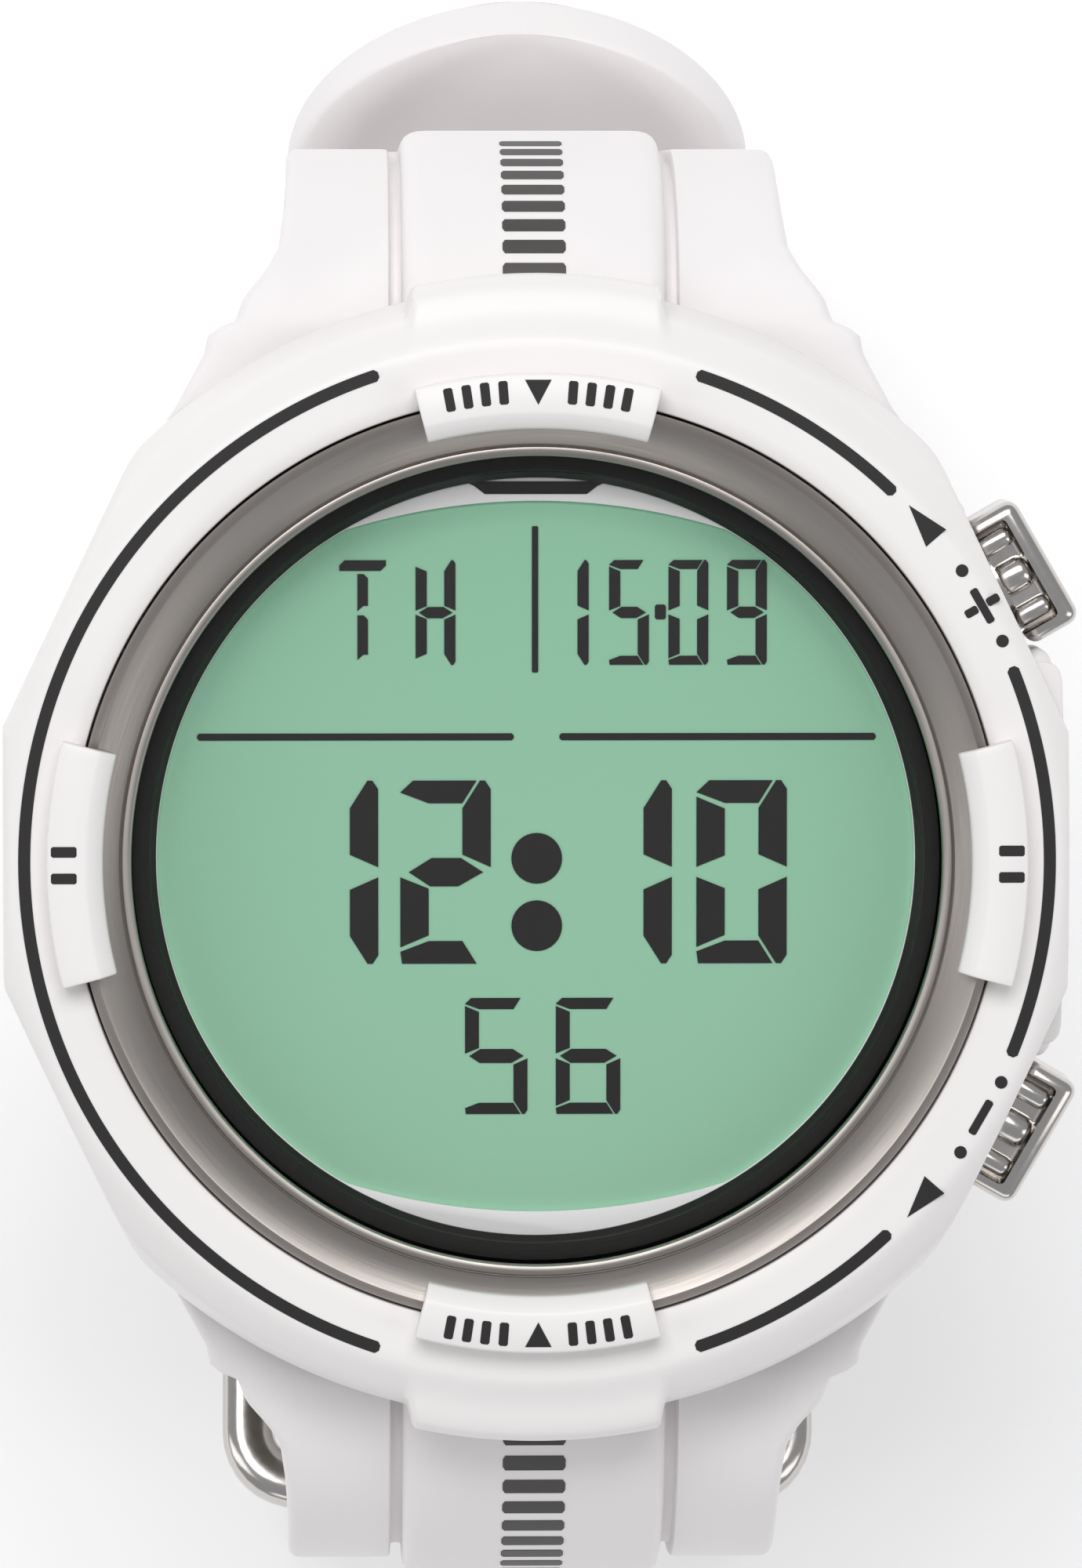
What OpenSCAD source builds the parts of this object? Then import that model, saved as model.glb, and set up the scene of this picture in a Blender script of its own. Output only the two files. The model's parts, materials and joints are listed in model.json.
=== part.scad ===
// Wrist dive computer on a closed elastomer strap, standing on its strap keeper.
// Origin: middle of the fixed keeper's underside. +Z goes up through the display,
// +Y points to 12 o'clock and +X to 3 o'clock, where the two buttons are.

/* [Case] */
// Height of the case back's outer face above the surface the strap stands on
case_z = 45; // [44:0.5:50]
// Half-width of the bezel cover at 3 and 9 o'clock
bezel_half = 25.05; // [25:0.05:25.2]
// Radius of the bezel cover's lower edge at 12 and 6 o'clock
skirt_r = 26.9; // [26.7:0.05:27.2]
// Radius of the bezel cover's upper crease
crease_r = 26; // [25.7:0.05:26.2]
// Distance of the four slanted side facets from the centre
facet_r = 25.2; // [25.1:0.05:25.3]
// Direction of the slanted facets, up and down from the 3 o'clock line
facet_angle = 25.5; // [25:0.1:26]
// Radius of the inner cavity of the case body
cavity_r = 18.4; // [18.3:0.05:18.5]

/* [Display] */
// Radius of the lens
lens_r = 19.5; // [19.4:0.05:19.5]
// Thickness of the lens
lens_t = 1.7; // [1.4:0.1:1.7]
// Outer radius of the steel ring
ring_r = 21.7; // [21.6:0.05:21.75]
// Radius of the steel ring's mouth
mouth_r = 19; // [18.95:0.05:19.1]
// Radius of the visible part of the display
view_r = 17.86; // [17.7:0.02:17.86]
// Half-height of the visible part of the display
view_half = 16.8; // [16.5:0.1:17]

/* [Buttons] */
// Angle of each button from the 3 o'clock line
button_angle = 30; // [29:0.5:31]
// Distance of a button's outer face from the centre
button_face_r = 28.1; // [28:0.05:28.3]
// Width of a button's cap
button_w = 6.6; // [6.2:0.1:6.8]
// Height of a button's cap
button_h = 4.8; // [4.4:0.1:4.8]
// Height of the button's axis above the case back
button_z = 5.3; // [5.3:0.05:5.4]
// Radius of a button's stem
stem_r = 1.4; // [1.3:0.05:1.4]

/* [Strap] */
// Width of the strap
strap_w = 23.6; // [22:0.2:23.8]
// Thickness of the strap
strap_t = 2.6; // [2.4:0.1:2.6]
// Width of the raised rib along the strap
rib_w = 12.5; // [12:0.1:13]
// Height of the rib above the strap
rib_h = 0.9; // [0.6:0.1:0.9]
// Distance of the lug pins from the centre
pin_y = 22.7; // [22.6:0.05:22.8]
// Height of the lug pins above the case back
pin_z = 4.6; // [4.5:0.1:4.7]
// Radius of the lug pins
pin_r = 0.9; // [0.7:0.05:0.95]
// Reach of the strap's middle at 12 o'clock
upper_reach = 32.1; // [31.8:0.1:33]
// Reach of the strap's middle at 6 o'clock
lower_reach = 34.2; // [34:0.1:34.4]
// Slope of the free tail
tail_slope = 41; // [38:1:43]
// Length of the free tail's straight part
tail_l = 17.2; // [15:0.1:19]

/* [Buckle] */
// Outer width of the buckle frame
buckle_w = 30.6; // [30:0.2:31.4]
// Radius of the buckle pin
buckle_pin_r = 0.9; // [0.8:0.05:0.95]
// Radius of the bow
bow_r = 1.2; // [1:0.1:1.2]

/* [Battery] */
// Radius of the coin cell, a CR2430
cell_r = 12.25; // [12.25:0.05:12.25]
// Thickness of the coin cell
cell_t = 3; // [3:0.1:3]

/* [Hidden] */
$fn = 96;

white = "#efecec";
black = "#242021";
steel = "#a9a5a2";
grey = "#8a8886";
gold = "#c8a450";

// Heights above the case back
back_t = 1.4;
skirt_z = 8;
shelf_z = 9.7;
face_z = 13.9;
lens_z = 10.9;
lip_z = lens_z + lens_t;
board_z = 5.2;
board_t = 0.8;
lcd_z = 8.3;
mask_z = 9.7;
mask_t = 0.3;
segment_t = 0.06;

// Case body
wall_y = 20;
shelf_inset = 1.1;
neck_r = 20.9;
pocket_x = 15.95;
ear_x = [8.3, 11.1];
ear_r = 2.2;
running = 0.05;

// Board screws
board_screw_angles = [120, 220, 300];

// Battery cap
cap_r = 14.4;
cap_gap = 0.1;
bayonet_r = 15.6;

// Bezel marks
stripe_r = 23.7;
stripe_w = 0.57;
mark_t = 0.06;

// Button places along their own axis, from the centre outwards
stem_end = 17.5;
bushing_end = 21.8;
bushing_r = 2.2;
well_r = 2.65;
neck_in = 24.2;
cap_in = 26.3;
collar_in = 3.5;
collar_out = 5;
collar_r = 25.9;

// Strap layers at the bottom of the loop
keeper_wall = 0.6;
layer_gap = 0.1;
long_z = keeper_wall + 0.15 + strap_t / 2;
short_z = long_z + strap_t + layer_gap;
knuckle_r = 2.3;
shoulder_z = 5.4;
shoulder_y = 25.2;
shoulder_end = 30.5;
rib_start = 25.3;
side_z = -7.5;

// Centres of the loop's big corner arcs, in Y and Z
upper_arc_r = 19.5;
upper_c = [upper_reach - upper_arc_r, short_z + upper_arc_r];
lower_arc_r = 19.8;
lower_c = [lower_arc_r - lower_reach, long_z + lower_arc_r];
tail_arc_r = upper_c[1] - long_z;
tail_end = [upper_c[0] + tail_arc_r * sin(tail_slope), upper_c[1] - tail_arc_r * cos(tail_slope)];
tip_half = strap_w / 2 + 0.03;
tip_l = 10.3;

// Buckle: the pin lies inside the long strap and the bow outside it
bend_in = lower_arc_r - strap_t / 2;
bend_out = lower_arc_r + strap_t / 2;
buckle_knuckle_r = 2.1;
pin_turn = 21;
bow_turn = 66;
buckle_pin_at = on_bend(bend_in - 0.15 - buckle_knuckle_r, pin_turn);
bow_at = on_bend(bend_out + 0.6 + bow_r, bow_turn);
frame_slope = atan2(bow_at[1] - buckle_pin_at[1], buckle_pin_at[0] - bow_at[0]);
frame_l = norm(bow_at - buckle_pin_at);
rail_in = strap_w / 2 + 0.6;
prong_w = 2;
prong_h = 1.2;

// A point in Y and Z on a circle round the lower bend, turned from straight down
function on_bend(r, turn) = lower_c + r * [-sin(turn), -cos(turn)];

// Points on an arc in Y and Z; angles run from straight down towards +Y
function arc_yz(c, r, from, to, steps) = [
    for (i = [0:steps]) let (a = from + (to - from) * i / steps) c + r * [sin(a), -cos(a)]
];

// The quarter ellipse from the lug down to the side, on the side given by s
function shoulder_yz(s, reach, off, steps = 12) = [
    for (i = [0:steps])
        let (
            a = 90 * i / steps,
            w = reach - shoulder_y,
            h = shoulder_z - side_z,
            n = [sin(a) * h, cos(a) * w] / norm([sin(a) * h, cos(a) * w])
        )
        [
            s * (shoulder_y + w * sin(a) + off * n[0]),
            case_z + side_z + h * cos(a) + off * n[1]
        ]
];

// The long strap's middle line moved outwards by off, from the lug to the tail's slope
function long_yz(off) = concat(
    [[-pin_y, case_z + shoulder_z + off]],
    shoulder_yz(-1, lower_reach, off),
    arc_yz(lower_c, lower_arc_r + off, -90, 0, 18),
    arc_yz(upper_c, tail_arc_r + off, 0, tail_slope, 8),
    [tail_end + tail_l * [cos(tail_slope), sin(tail_slope)] + off * [sin(tail_slope), -cos(tail_slope)]]
);

// The short strap's middle line moved outwards by off, from the lug to the buckle pin
function short_yz(off) = concat(
    [[pin_y, case_z + shoulder_z + off]],
    shoulder_yz(1, upper_reach, off),
    arc_yz(upper_c, upper_arc_r + off, 90, 0, 18),
    arc_yz(lower_c, bend_in - layer_gap - strap_t / 2 + off, 0, -pin_turn, 4)
);

// The rib's line on the side given by s, from the lug to the start of the corner arc
function rib_yz(s, reach, off) = concat(
    [[s * pin_y, case_z + shoulder_z + off]],
    shoulder_yz(s, reach, off)
);

function reversed(list) = [for (i = [len(list) - 1:-1:0]) list[i]];

// An outline in Y and Z, extruded along X between -half and half
module along_x(half) {
    rotate([90, 0, 90])
        translate([0, 0, -half])
            linear_extrude(2 * half)
                children();
}

// A cylinder along X through the point at, given in Y and Z
module pin_along_x(at, r, half) {
    translate([0, at[0], at[1]])
        rotate([0, 90, 0])
            cylinder(r = r, h = 2 * half, center = true);
}

module at_case(z = 0) {
    translate([0, 0, case_z + z]) children();
}

module both_ends() {
    for (s = [0, 1]) mirror([0, s, 0]) children();
}

// Button axis: the child's +Z points outwards along the button
module at_button(side) {
    at_case(button_z)
        rotate([0, 90, side * button_angle])
            children();
}

module tube(r_out, r_in, h) {
    difference() {
        cylinder(r = r_out, h = h);
        translate([0, 0, -1]) cylinder(r = r_in, h = h + 2);
    }
}

module torus(r, section) {
    rotate_extrude() translate([r, 0]) circle(r = section, $fn = 32);
}

// The six-sided outline that trims the round case at the sides
module side_facets(inset) {
    d = facet_r - inset;
    x = bezel_half - inset;
    y = (d - x * cos(facet_angle)) / sin(facet_angle);
    far = 30;
    xf = (d - far * sin(facet_angle)) / cos(facet_angle);
    polygon([[x, -y], [x, y], [xf, far], [-xf, far], [-x, y], [-x, -y], [-xf, -far], [xf, -far]]);
}

// A ring sector with its profile in R and Z, centred on the direction given
module sector(direction, width_angle) {
    rotate([0, 0, direction - width_angle / 2])
        rotate_extrude(angle = width_angle)
            children();
}

// ---------------------------------------------------------------- case

module case_shell() {
    intersection() {
        union() {
            translate([0, 0, back_t]) cylinder(r = 25.4, h = skirt_z - back_t);
            translate([0, 0, skirt_z]) cylinder(r = skirt_r - shelf_inset, h = shelf_z - skirt_z);
        }
        linear_extrude(20) side_facets(shelf_inset);
    }
    translate([0, 0, shelf_z - 0.1]) cylinder(r = neck_r, h = lens_z - 0.3 - shelf_z + 0.1);
    button_guard();
}

// The stepped guard between the buttons and the two bumps beyond them
module button_guard() {
    guard = [[22, -8.6], [23.9, -8.6], [25, -6.5], [25.3, -6.2], [25.3, 6.2], [25, 6.5],
        [23.9, 8.6], [22, 8.6]];
    translate([0, 0, 3]) linear_extrude(skirt_z - 3) polygon(guard);
}

module strap_pocket() {
    translate([-pocket_x, wall_y, -1]) cube([2 * pocket_x, 10, skirt_z - 0.2 + 1]);
}

module lug_ears() {
    for (s = [-1, 1])
        translate([s * (ear_x[0] + ear_x[1]) / 2, 0, pin_z])
            rotate([0, 90, 0])
                difference() {
                    union() {
                        cylinder(r = ear_r, h = ear_x[1] - ear_x[0], center = true);
                        translate([0, wall_y - pin_y, 0])
                            cube([2 * ear_r, 2 * (pin_y - wall_y), ear_x[1] - ear_x[0]], center = true);
                    }
                    cylinder(r = pin_r + running, h = 10, center = true);
                }
}

module button_well() {
    translate([0, 0, 16]) cylinder(r = stem_r + 0.9, h = 3);
    translate([0, 0, 17]) cylinder(r = bushing_r + 0.01, h = bushing_end - 17);
    translate([0, 0, bushing_end - 0.01]) cylinder(r = well_r, h = 10);
}

// The walls that stand on either side of a button and keep it from being knocked
module button_collars() {
    for (s = [-1, 1])
        translate([-2.6, min(collar_in * s, collar_out * s), 22])
            cube([5.2, collar_out - collar_in, collar_r - 22]);
}

module case_body() {
    color(white) {
        difference() {
            at_case() case_shell();
            at_case(back_t - 1) cylinder(r = cavity_r, h = shelf_z - back_t + 1);
            at_case(5) cylinder(r = mouth_r - 0.05, h = 10);
            both_ends() at_case() strap_pocket();
            for (side = [-1, 1]) at_button(side) button_well();
            at_case(back_t) torus(19.1, 0.42);
            for (a = [45:90:315])
                at_case(0) rotate([0, 0, a]) translate([22, 0, 0]) cylinder(r = 0.62, h = 6);
            for (s = [-1, 1])
                at_case(4.6) translate([-26, 4 * s, 0]) rotate([0, 90, 0]) cylinder(r = 0.82, h = 9);
        }
        both_ends() at_case() translate([0, pin_y, 0]) lug_ears();
        for (side = [-1, 1]) at_button(side) button_collars();
    }
}

module back_outline() {
    intersection() {
        circle(r = 24.2);
        side_facets(1.4);
        square([60, 2 * wall_y - 0.4], center = true);
    }
}

module case_back() {
    color(grey)
        difference() {
            at_case() linear_extrude(back_t) back_outline();
            at_case(-1) cylinder(r = cap_r + cap_gap, h = 5);
            at_case(back_t) torus(19.1, 0.42);
            at_case(-1) translate([-16.5, 0, 0]) cylinder(r = 0.9, h = 5);
            at_case(-0.01) translate([-16.5, 0, 0]) cylinder(r = 1.65, h = 0.6);
            for (a = [45:90:315])
                at_case(-1) rotate([0, 0, a]) translate([22, 0, 0]) {
                    cylinder(r = 0.72, h = 5);
                    cylinder(r = 1.3, h = 1.7);
                }
            // Bayonet entries, an eighth of a turn from where the cap's lugs are locked
            for (a = [45:120:285])
                at_case(-1) rotate([0, 0, a - 8]) rotate_extrude(angle = 16) square([15.8, 5]);
        }
}

module case_back_seal() {
    color(black) at_case(back_t) torus(19.1, 0.4);
}

module case_back_screws() {
    color(steel)
        for (a = [45:90:315])
            at_case(0) rotate([0, 0, a]) translate([22, 0, 0])
                difference() {
                    union() {
                        translate([0, 0, 0.05]) cylinder(r = 1.25, h = 0.65);
                        translate([0, 0, 0.6]) cylinder(r = 0.6, h = 4.6);
                    }
                    translate([-0.15, -2, -0.1]) cube([0.3, 4, 0.45]);
                }
}

// ---------------------------------------------------------------- bezel

module bezel_profile() {
    polygon([
        [ring_r + 0.1, shelf_z], [skirt_r - 1, shelf_z], [skirt_r - 1, skirt_z], [skirt_r, skirt_z],
        [crease_r, 12.6], [24.4, face_z], [ring_r + 0.1, face_z]
    ]);
}

module tab_profile() {
    polygon([
        [ring_r + 0.2, face_z - 0.6], [22.9, face_z - 0.6], [22.9, 15.2], [22.7, 15.4],
        [21.1, 15.4], [20.3, 14.75], [20.3, 13.87], [21.2, 14.4], [ring_r + 0.1, 14.45]
    ]);
}

module bezel_hood() {
    intersection() {
        rotate_extrude()
            polygon([[24.6, 11], [27.5, 10], [27.5, 12.2], [26.9, 13.2], [24.6, 13.7]]);
        translate([-6, 20, 9]) cube([12, 10, 6]);
    }
}

module bezel_cover() {
    color(white)
        at_case() {
            intersection() {
                rotate_extrude() bezel_profile();
                linear_extrude(20) side_facets(0);
            }
            for (a = [0:90:270]) sector(a, 29) tab_profile();
            both_ends() bezel_hood();
        }
}

// A stripe from one angle to another, with round ends
module stripe(from, to) {
    rotate([0, 0, from])
        rotate_extrude(angle = to - from)
            translate([stripe_r, 0])
                square([stripe_w, mark_t]);
}

module arrow(a, s) {
    rotate([0, 0, a])
        linear_extrude(mark_t)
            polygon([[stripe_r - 0.4, -0.9 * s], [stripe_r + 0.7, -0.9 * s], [stripe_r - 0.1, 1.3 * s]]);
}

// A ring for "select" and a square for "back"
module symbols() {
    rotate([0, 0, button_angle]) translate([stripe_r - 0.1, 0, 0]) tube(0.95, 0.5, mark_t);
    rotate([0, 0, -button_angle])
        translate([stripe_r - 0.1, 0, 0])
            linear_extrude(mark_t)
                difference() {
                    square(1.8, center = true);
                    square(0.9, center = true);
                }
}

// Two bars on each side tab, and a triangle between bars on the upper and lower tabs
module tab_marks() {
    for (a = [0, 180]) rotate([0, 0, a])
        for (s = [-1, 1]) translate([21.5, s * 0.6 - 0.25, 0]) cube([1.1, 0.5, mark_t]);
    for (a = [90, 270]) rotate([0, 0, a]) {
        linear_extrude(mark_t) polygon([[21.4, 0], [22.6, -0.8], [22.6, 0.8]]);
        for (s = [-1, 1], i = [0:2])
            rotate([0, 0, s * (5 + 2.6 * i)]) translate([21.5, -0.3, 0]) cube([1.1, 0.6, mark_t]);
    }
}

module bezel_marks() {
    color(black) {
        at_case(face_z) {
            stripe(108, 252);
            stripe(46, 72);
            stripe(-22.4, 22.4);
            stripe(-72, -46.5);
            arrow(41.5, 1);
            arrow(-41.5, -1);
            symbols();
        }
        at_case(15.4) tab_marks();
    }
}

module bezel_ring() {
    color(steel)
        at_case()
            rotate_extrude()
                polygon([
                    [lens_r + 0.05, lens_z - 0.3], [neck_r + 0.05, lens_z - 0.3],
                    [neck_r + 0.05, shelf_z], [ring_r, shelf_z], [ring_r, 14.1], [21.2, 14.35],
                    [19.45, 13.3], [mouth_r, 13.3], [mouth_r, lip_z], [lens_r + 0.05, lip_z]
                ]);
}

module chapter_ring() {
    color(black) at_case(mask_z + mask_t) tube(mouth_r - 0.1, view_r + 0.04, lens_z - mask_z - mask_t - 0.05);
}

module lens() {
    color([0.8, 0.85, 0.86, 0.35]) at_case(lens_z) cylinder(r = lens_r, h = lens_t);
}

module lens_seal() {
    color(black) at_case(lens_z - 0.3) tube(lens_r, mouth_r, 0.3);
}

// ---------------------------------------------------------------- display

module view_window() {
    intersection() {
        circle(r = view_r);
        square([60, 2 * view_half], center = true);
    }
}

module display_mask() {
    color(white)
        at_case(mask_z)
            linear_extrude(mask_t)
                difference() {
                    circle(r = mouth_r - 0.1);
                    view_window();
                }
}

module lcd_panel() {
    color("#8ac0a0")
        at_case(lcd_z)
            linear_extrude(mask_z - lcd_z)
                intersection() {
                    circle(r = cavity_r - 0.1);
                    square([60, 2 * view_half + 1], center = true);
                }
}

// One seven-segment figure in a box of w by h, with strokes of s; on lists the lit segments
module figure(w, h, s, on) {
    gap = s * 0.12;
    bars = [
        [0, h - s, w, s], [w - s, h / 2, s, h / 2], [w - s, 0, s, h / 2], [0, 0, w, s],
        [0, 0, s, h / 2], [0, h / 2, s, h / 2], [0, h / 2 - s / 2, w, s]
    ];
    for (i = on)
        let (b = bars[i])
            translate([b[0] + gap, b[1] + gap]) square([b[2] - 2 * gap, b[3] - 2 * gap]);
}

one = [1, 2];
two = [0, 1, 3, 4, 6];
five = [0, 2, 3, 5, 6];
six = [0, 2, 3, 4, 5, 6];
nine = [0, 1, 2, 3, 5, 6];
zero = [0, 1, 2, 3, 4, 5];

module small_row() {
    translate([-8.4, 9.3]) square([0.6, 4.8]);
    translate([-9.2, 13.4]) square([2.2, 0.6]);
    for (x = [-5.6, -4.2]) translate([x, 9.3]) square([0.55, 4.8]);
    translate([-5.6, 11.4]) square([1.9, 0.55]);
    translate([-0.25, 8.9]) square([0.35, 6.8]);
    translate([1.5, 9.3]) figure(1.85, 4.8, 0.55, one);
    translate([3.5, 9.3]) figure(1.85, 4.8, 0.55, five);
    translate([5.6, 11.85]) square(0.5);
    translate([6.3, 9.3]) figure(1.85, 4.8, 0.55, zero);
    translate([9, 9.3]) figure(1.85, 4.8, 0.55, nine);
}

module big_row() {
    translate([-10.6, -4.7]) figure(3.2, 8.6, 1.35, one);
    translate([-6.4, -4.7]) figure(4.3, 8.6, 1.35, two);
    for (y = [0.2, -3]) translate([0, y]) circle(r = 1.2);
    translate([3, -4.7]) figure(3.2, 8.6, 1.35, one);
    translate([7.4, -4.7]) figure(4.2, 8.6, 1.35, zero);
}

module lcd_segments() {
    color(black)
        at_case(mask_z)
            linear_extrude(segment_t) {
                small_row();
                big_row();
                for (x = [-15.9, 1]) translate([x, 5.7]) square([14.8, 0.33]);
                translate([-3.4, -11.8]) figure(2.8, 5.4, 0.75, five);
                translate([0.8, -11.8]) figure(3, 5.4, 0.75, six);
            }
}

module backlight_plate() {
    color("#e6efe6") at_case(7.5) cylinder(r = 15.4, h = lcd_z - 7.5 - 0.05);
}

module zebra_strips() {
    color(black)
        both_ends() at_case(board_z + board_t) translate([-6, 15.75, 0]) cube([12, 0.9, lcd_z - board_z - board_t]);
}

module stem_slots(inner) {
    for (side = [-1, 1])
        at_case(button_z) rotate([0, 0, side * button_angle]) translate([inner, -2.75, -3])
            cube([8, 5.5, 5.3]);
}

module display_frame() {
    color("#d8d4cc")
        difference() {
            at_case(board_z + board_t) cylinder(r = cavity_r - 0.15, h = lcd_z - board_z - board_t);
            at_case(board_z) cylinder(r = 15.45, h = 5);
            both_ends() at_case(board_z) translate([-6.05, 15, 0]) cube([12.1, 1.7, 5]);
            stem_slots(15.4);
            for (a = board_screw_angles)
                at_case(0) rotate([0, 0, a]) translate([17, 0, 0]) cylinder(r = 0.5, h = 7.5);
        }
}

module battery_frame() {
    color("#4a4846")
        difference() {
            at_case(2.3) cylinder(r = cavity_r - 0.15, h = board_z - 2.3);
            at_case(2) cylinder(r = cell_r + 0.15, h = 5);
            stem_slots(15.4);
            at_case(1) translate([-16.5, 0, 0]) cylinder(r = 1.8, h = 4.2);
            at_case(2) translate([-1.6, 11, 0]) cube([3.2, 2.4, 5]);
            for (a = board_screw_angles)
                at_case(0) rotate([0, 0, a]) translate([17, 0, 0]) cylinder(r = 0.5, h = 7.5);
        }
}

// ---------------------------------------------------------------- electronics

module circuit_board() {
    color("#2f6b46")
        difference() {
            at_case(board_z) cylinder(r = cavity_r - 0.3, h = board_t);
            stem_slots(15.4);
            for (a = board_screw_angles)
                at_case(0) rotate([0, 0, a]) translate([17, 0, 0]) cylinder(r = 0.55, h = 9);
        }
}

module board_chips() {
    color("#26262a")
        at_case(board_z + board_t) {
            translate([1, -4, 0]) cube([7, 7, 1.1]);
            translate([3, 6, 0]) cube([5, 4, 0.9]);
            translate([-2, 9, 0]) cube([3.2, 1.6, 0.8]);
            translate([-9, -10, 0]) cube([4, 5, 0.9]);
            translate([10, 2, 0]) cube([1.6, 3, 0.7]);
        }
}

module board_screws() {
    color(steel)
        for (a = board_screw_angles)
            at_case(2.6) rotate([0, 0, a]) translate([17, 0, 0]) cylinder(r = 0.48, h = 4.6);
}

module button_switches() {
    color(steel)
        for (side = [-1, 1])
            at_case(button_z) rotate([0, 0, side * button_angle]) translate([15.42, -1.7, -1.4]) cube([0.9, 3.4, 2.8]);
}

module pressure_sensor() {
    color(steel)
        at_case() translate([-16.5, 0, 0]) {
            translate([0, 0, back_t]) tube(1.7, 0.6, 1.5);
            translate([0, 0, 2.8]) cylinder(r = 1.7, h = board_z - 2.8);
        }
}

module sensor_seal() {
    color(black) at_case(0.6) translate([-16.5, 0, 0]) tube(0.88, 0.5, 0.8);
}

module sensor_grille() {
    color(steel)
        at_case(0.05)
            translate([-16.5, 0, 0])
                difference() {
                    cylinder(r = 1.6, h = 0.5);
                    for (a = [0:60:300]) rotate([0, 0, a]) translate([0.85, 0, -1]) cylinder(r = 0.25, h = 3);
                }
}

module buzzer() {
    color(gold) at_case(board_z + board_t) translate([-5, 2.5, 0]) cylinder(r = 4.5, h = 0.5);
}

module wet_contacts() {
    color(gold)
        for (s = [-1, 1])
            at_case(4.6) translate([-24.1, 4 * s, 0]) rotate([0, 90, 0]) cylinder(r = 0.8, h = 6);
}

module battery() {
    color("#c9c9c6") at_case(2) cylinder(r = cell_r, h = cell_t);
}

module battery_contacts() {
    color(gold) {
        at_case(5) translate([-2, -1.5, 0]) cube([4, 3, 0.2]);
        at_case(2.4) translate([-1.2, cell_r + 0.02, 0]) cube([2.4, 0.6, board_z - 2.4]);
        at_case(1.6) translate([-3, -1.2, 0]) cube([6, 2.4, 0.4]);
    }
}

module battery_cap() {
    color(grey)
        at_case()
            difference() {
                union() {
                    translate([0, 0, 0.02]) cylinder(r = cap_r, h = 1.58);
                    for (a = [0:120:240])
                        rotate([0, 0, a - 7])
                            rotate_extrude(angle = 14)
                                translate([8, back_t + 0.06])
                                    square([bayonet_r - 8, 0.5]);
                }
                translate([-6, -0.9, -1]) cube([12, 1.8, 1.9]);
                translate([0, 0, 0.75]) torus(cap_r, 0.35);
            }
}

module battery_cap_seal() {
    color(black)
        at_case(0.75)
            intersection() {
                torus(cap_r - 0.05, 0.3);
                cylinder(r = cap_r + cap_gap - 0.02, h = 5, center = true);
            }
}

// ---------------------------------------------------------------- buttons

// A rounded plate, with its face across the button's axis
module button_plate(t, r) {
    w = button_w / 2 - r;
    h = button_h / 2 - r;
    linear_extrude(t) {
        for (x = [-h, h], y = [-w, w]) translate([x, y]) circle(r = r, $fn = 32);
        square([2 * h, button_w], center = true);
        square([button_h, 2 * w], center = true);
    }
}

module button(side) {
    color(steel)
        at_button(side) {
            translate([0, 0, cap_in]) button_plate(button_face_r - cap_in, 0.9);
            translate([0, 0, neck_in]) cylinder(r = 2.3, h = cap_in - neck_in);
            difference() {
                translate([0, 0, stem_end]) cylinder(r = stem_r, h = neck_in - stem_end);
                translate([0, 0, 17.85]) tube(3, 1.1, 0.45);
                translate([0, 0, 20.2]) torus(stem_r, 0.32);
            }
        }
}

module button_spring(side) {
    turns = 3;
    color(steel)
        at_button(side)
            for (i = [0:turns - 1])
                translate([0, 0, bushing_end + 0.25 + i * 0.8]) torus(1.95, 0.22);
}

module button_seal(side) {
    color(black) at_button(side) translate([0, 0, 20.2]) torus(stem_r - 0.05, 0.25);
}

module button_clip(side) {
    color(steel) at_button(side) translate([0, 0, 17.88]) tube(2.15, 1.12, 0.4);
}

module button_bushings() {
    color(steel)
        for (side = [-1, 1])
            at_button(side)
                difference() {
                    translate([0, 0, 18.45]) cylinder(r = bushing_r, h = bushing_end - 18.45);
                    translate([0, 0, 15]) cylinder(r = stem_r + running, h = 10);
                    translate([0, 0, 19]) cylinder(r = stem_r + 0.3, h = 2.4);
                }
}

module select_button() { button(1); }
module escape_button() { button(-1); }
module select_spring() { button_spring(1); }
module escape_spring() { button_spring(-1); }
module select_seal() { button_seal(1); }
module escape_seal() { button_seal(-1); }
module select_clip() { button_clip(1); }
module escape_clip() { button_clip(-1); }

// ---------------------------------------------------------------- strap

module lug_pin(s) {
    color(steel) pin_along_x([s * pin_y, case_z + pin_z], pin_r, 15.2);
}

module lug_pin_upper() { lug_pin(1); }
module lug_pin_lower() { lug_pin(-1); }

// Half of the shoulder's outline in plan, from the case corner out to the strap
module shoulder_plan() {
    for (s = [0, 1])
        mirror([s, 0, 0])
            polygon([
                [0, 20.35], [16.05, 20.35], [17.7, 20.35], [15.6, 23.6], [15.4, 24.7], [14.3, 25.1],
                [13.7, 26.2], [12.6, 28], [strap_w / 2, 30], [strap_w / 2, 34], [0, 34]
            ]);
}

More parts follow.
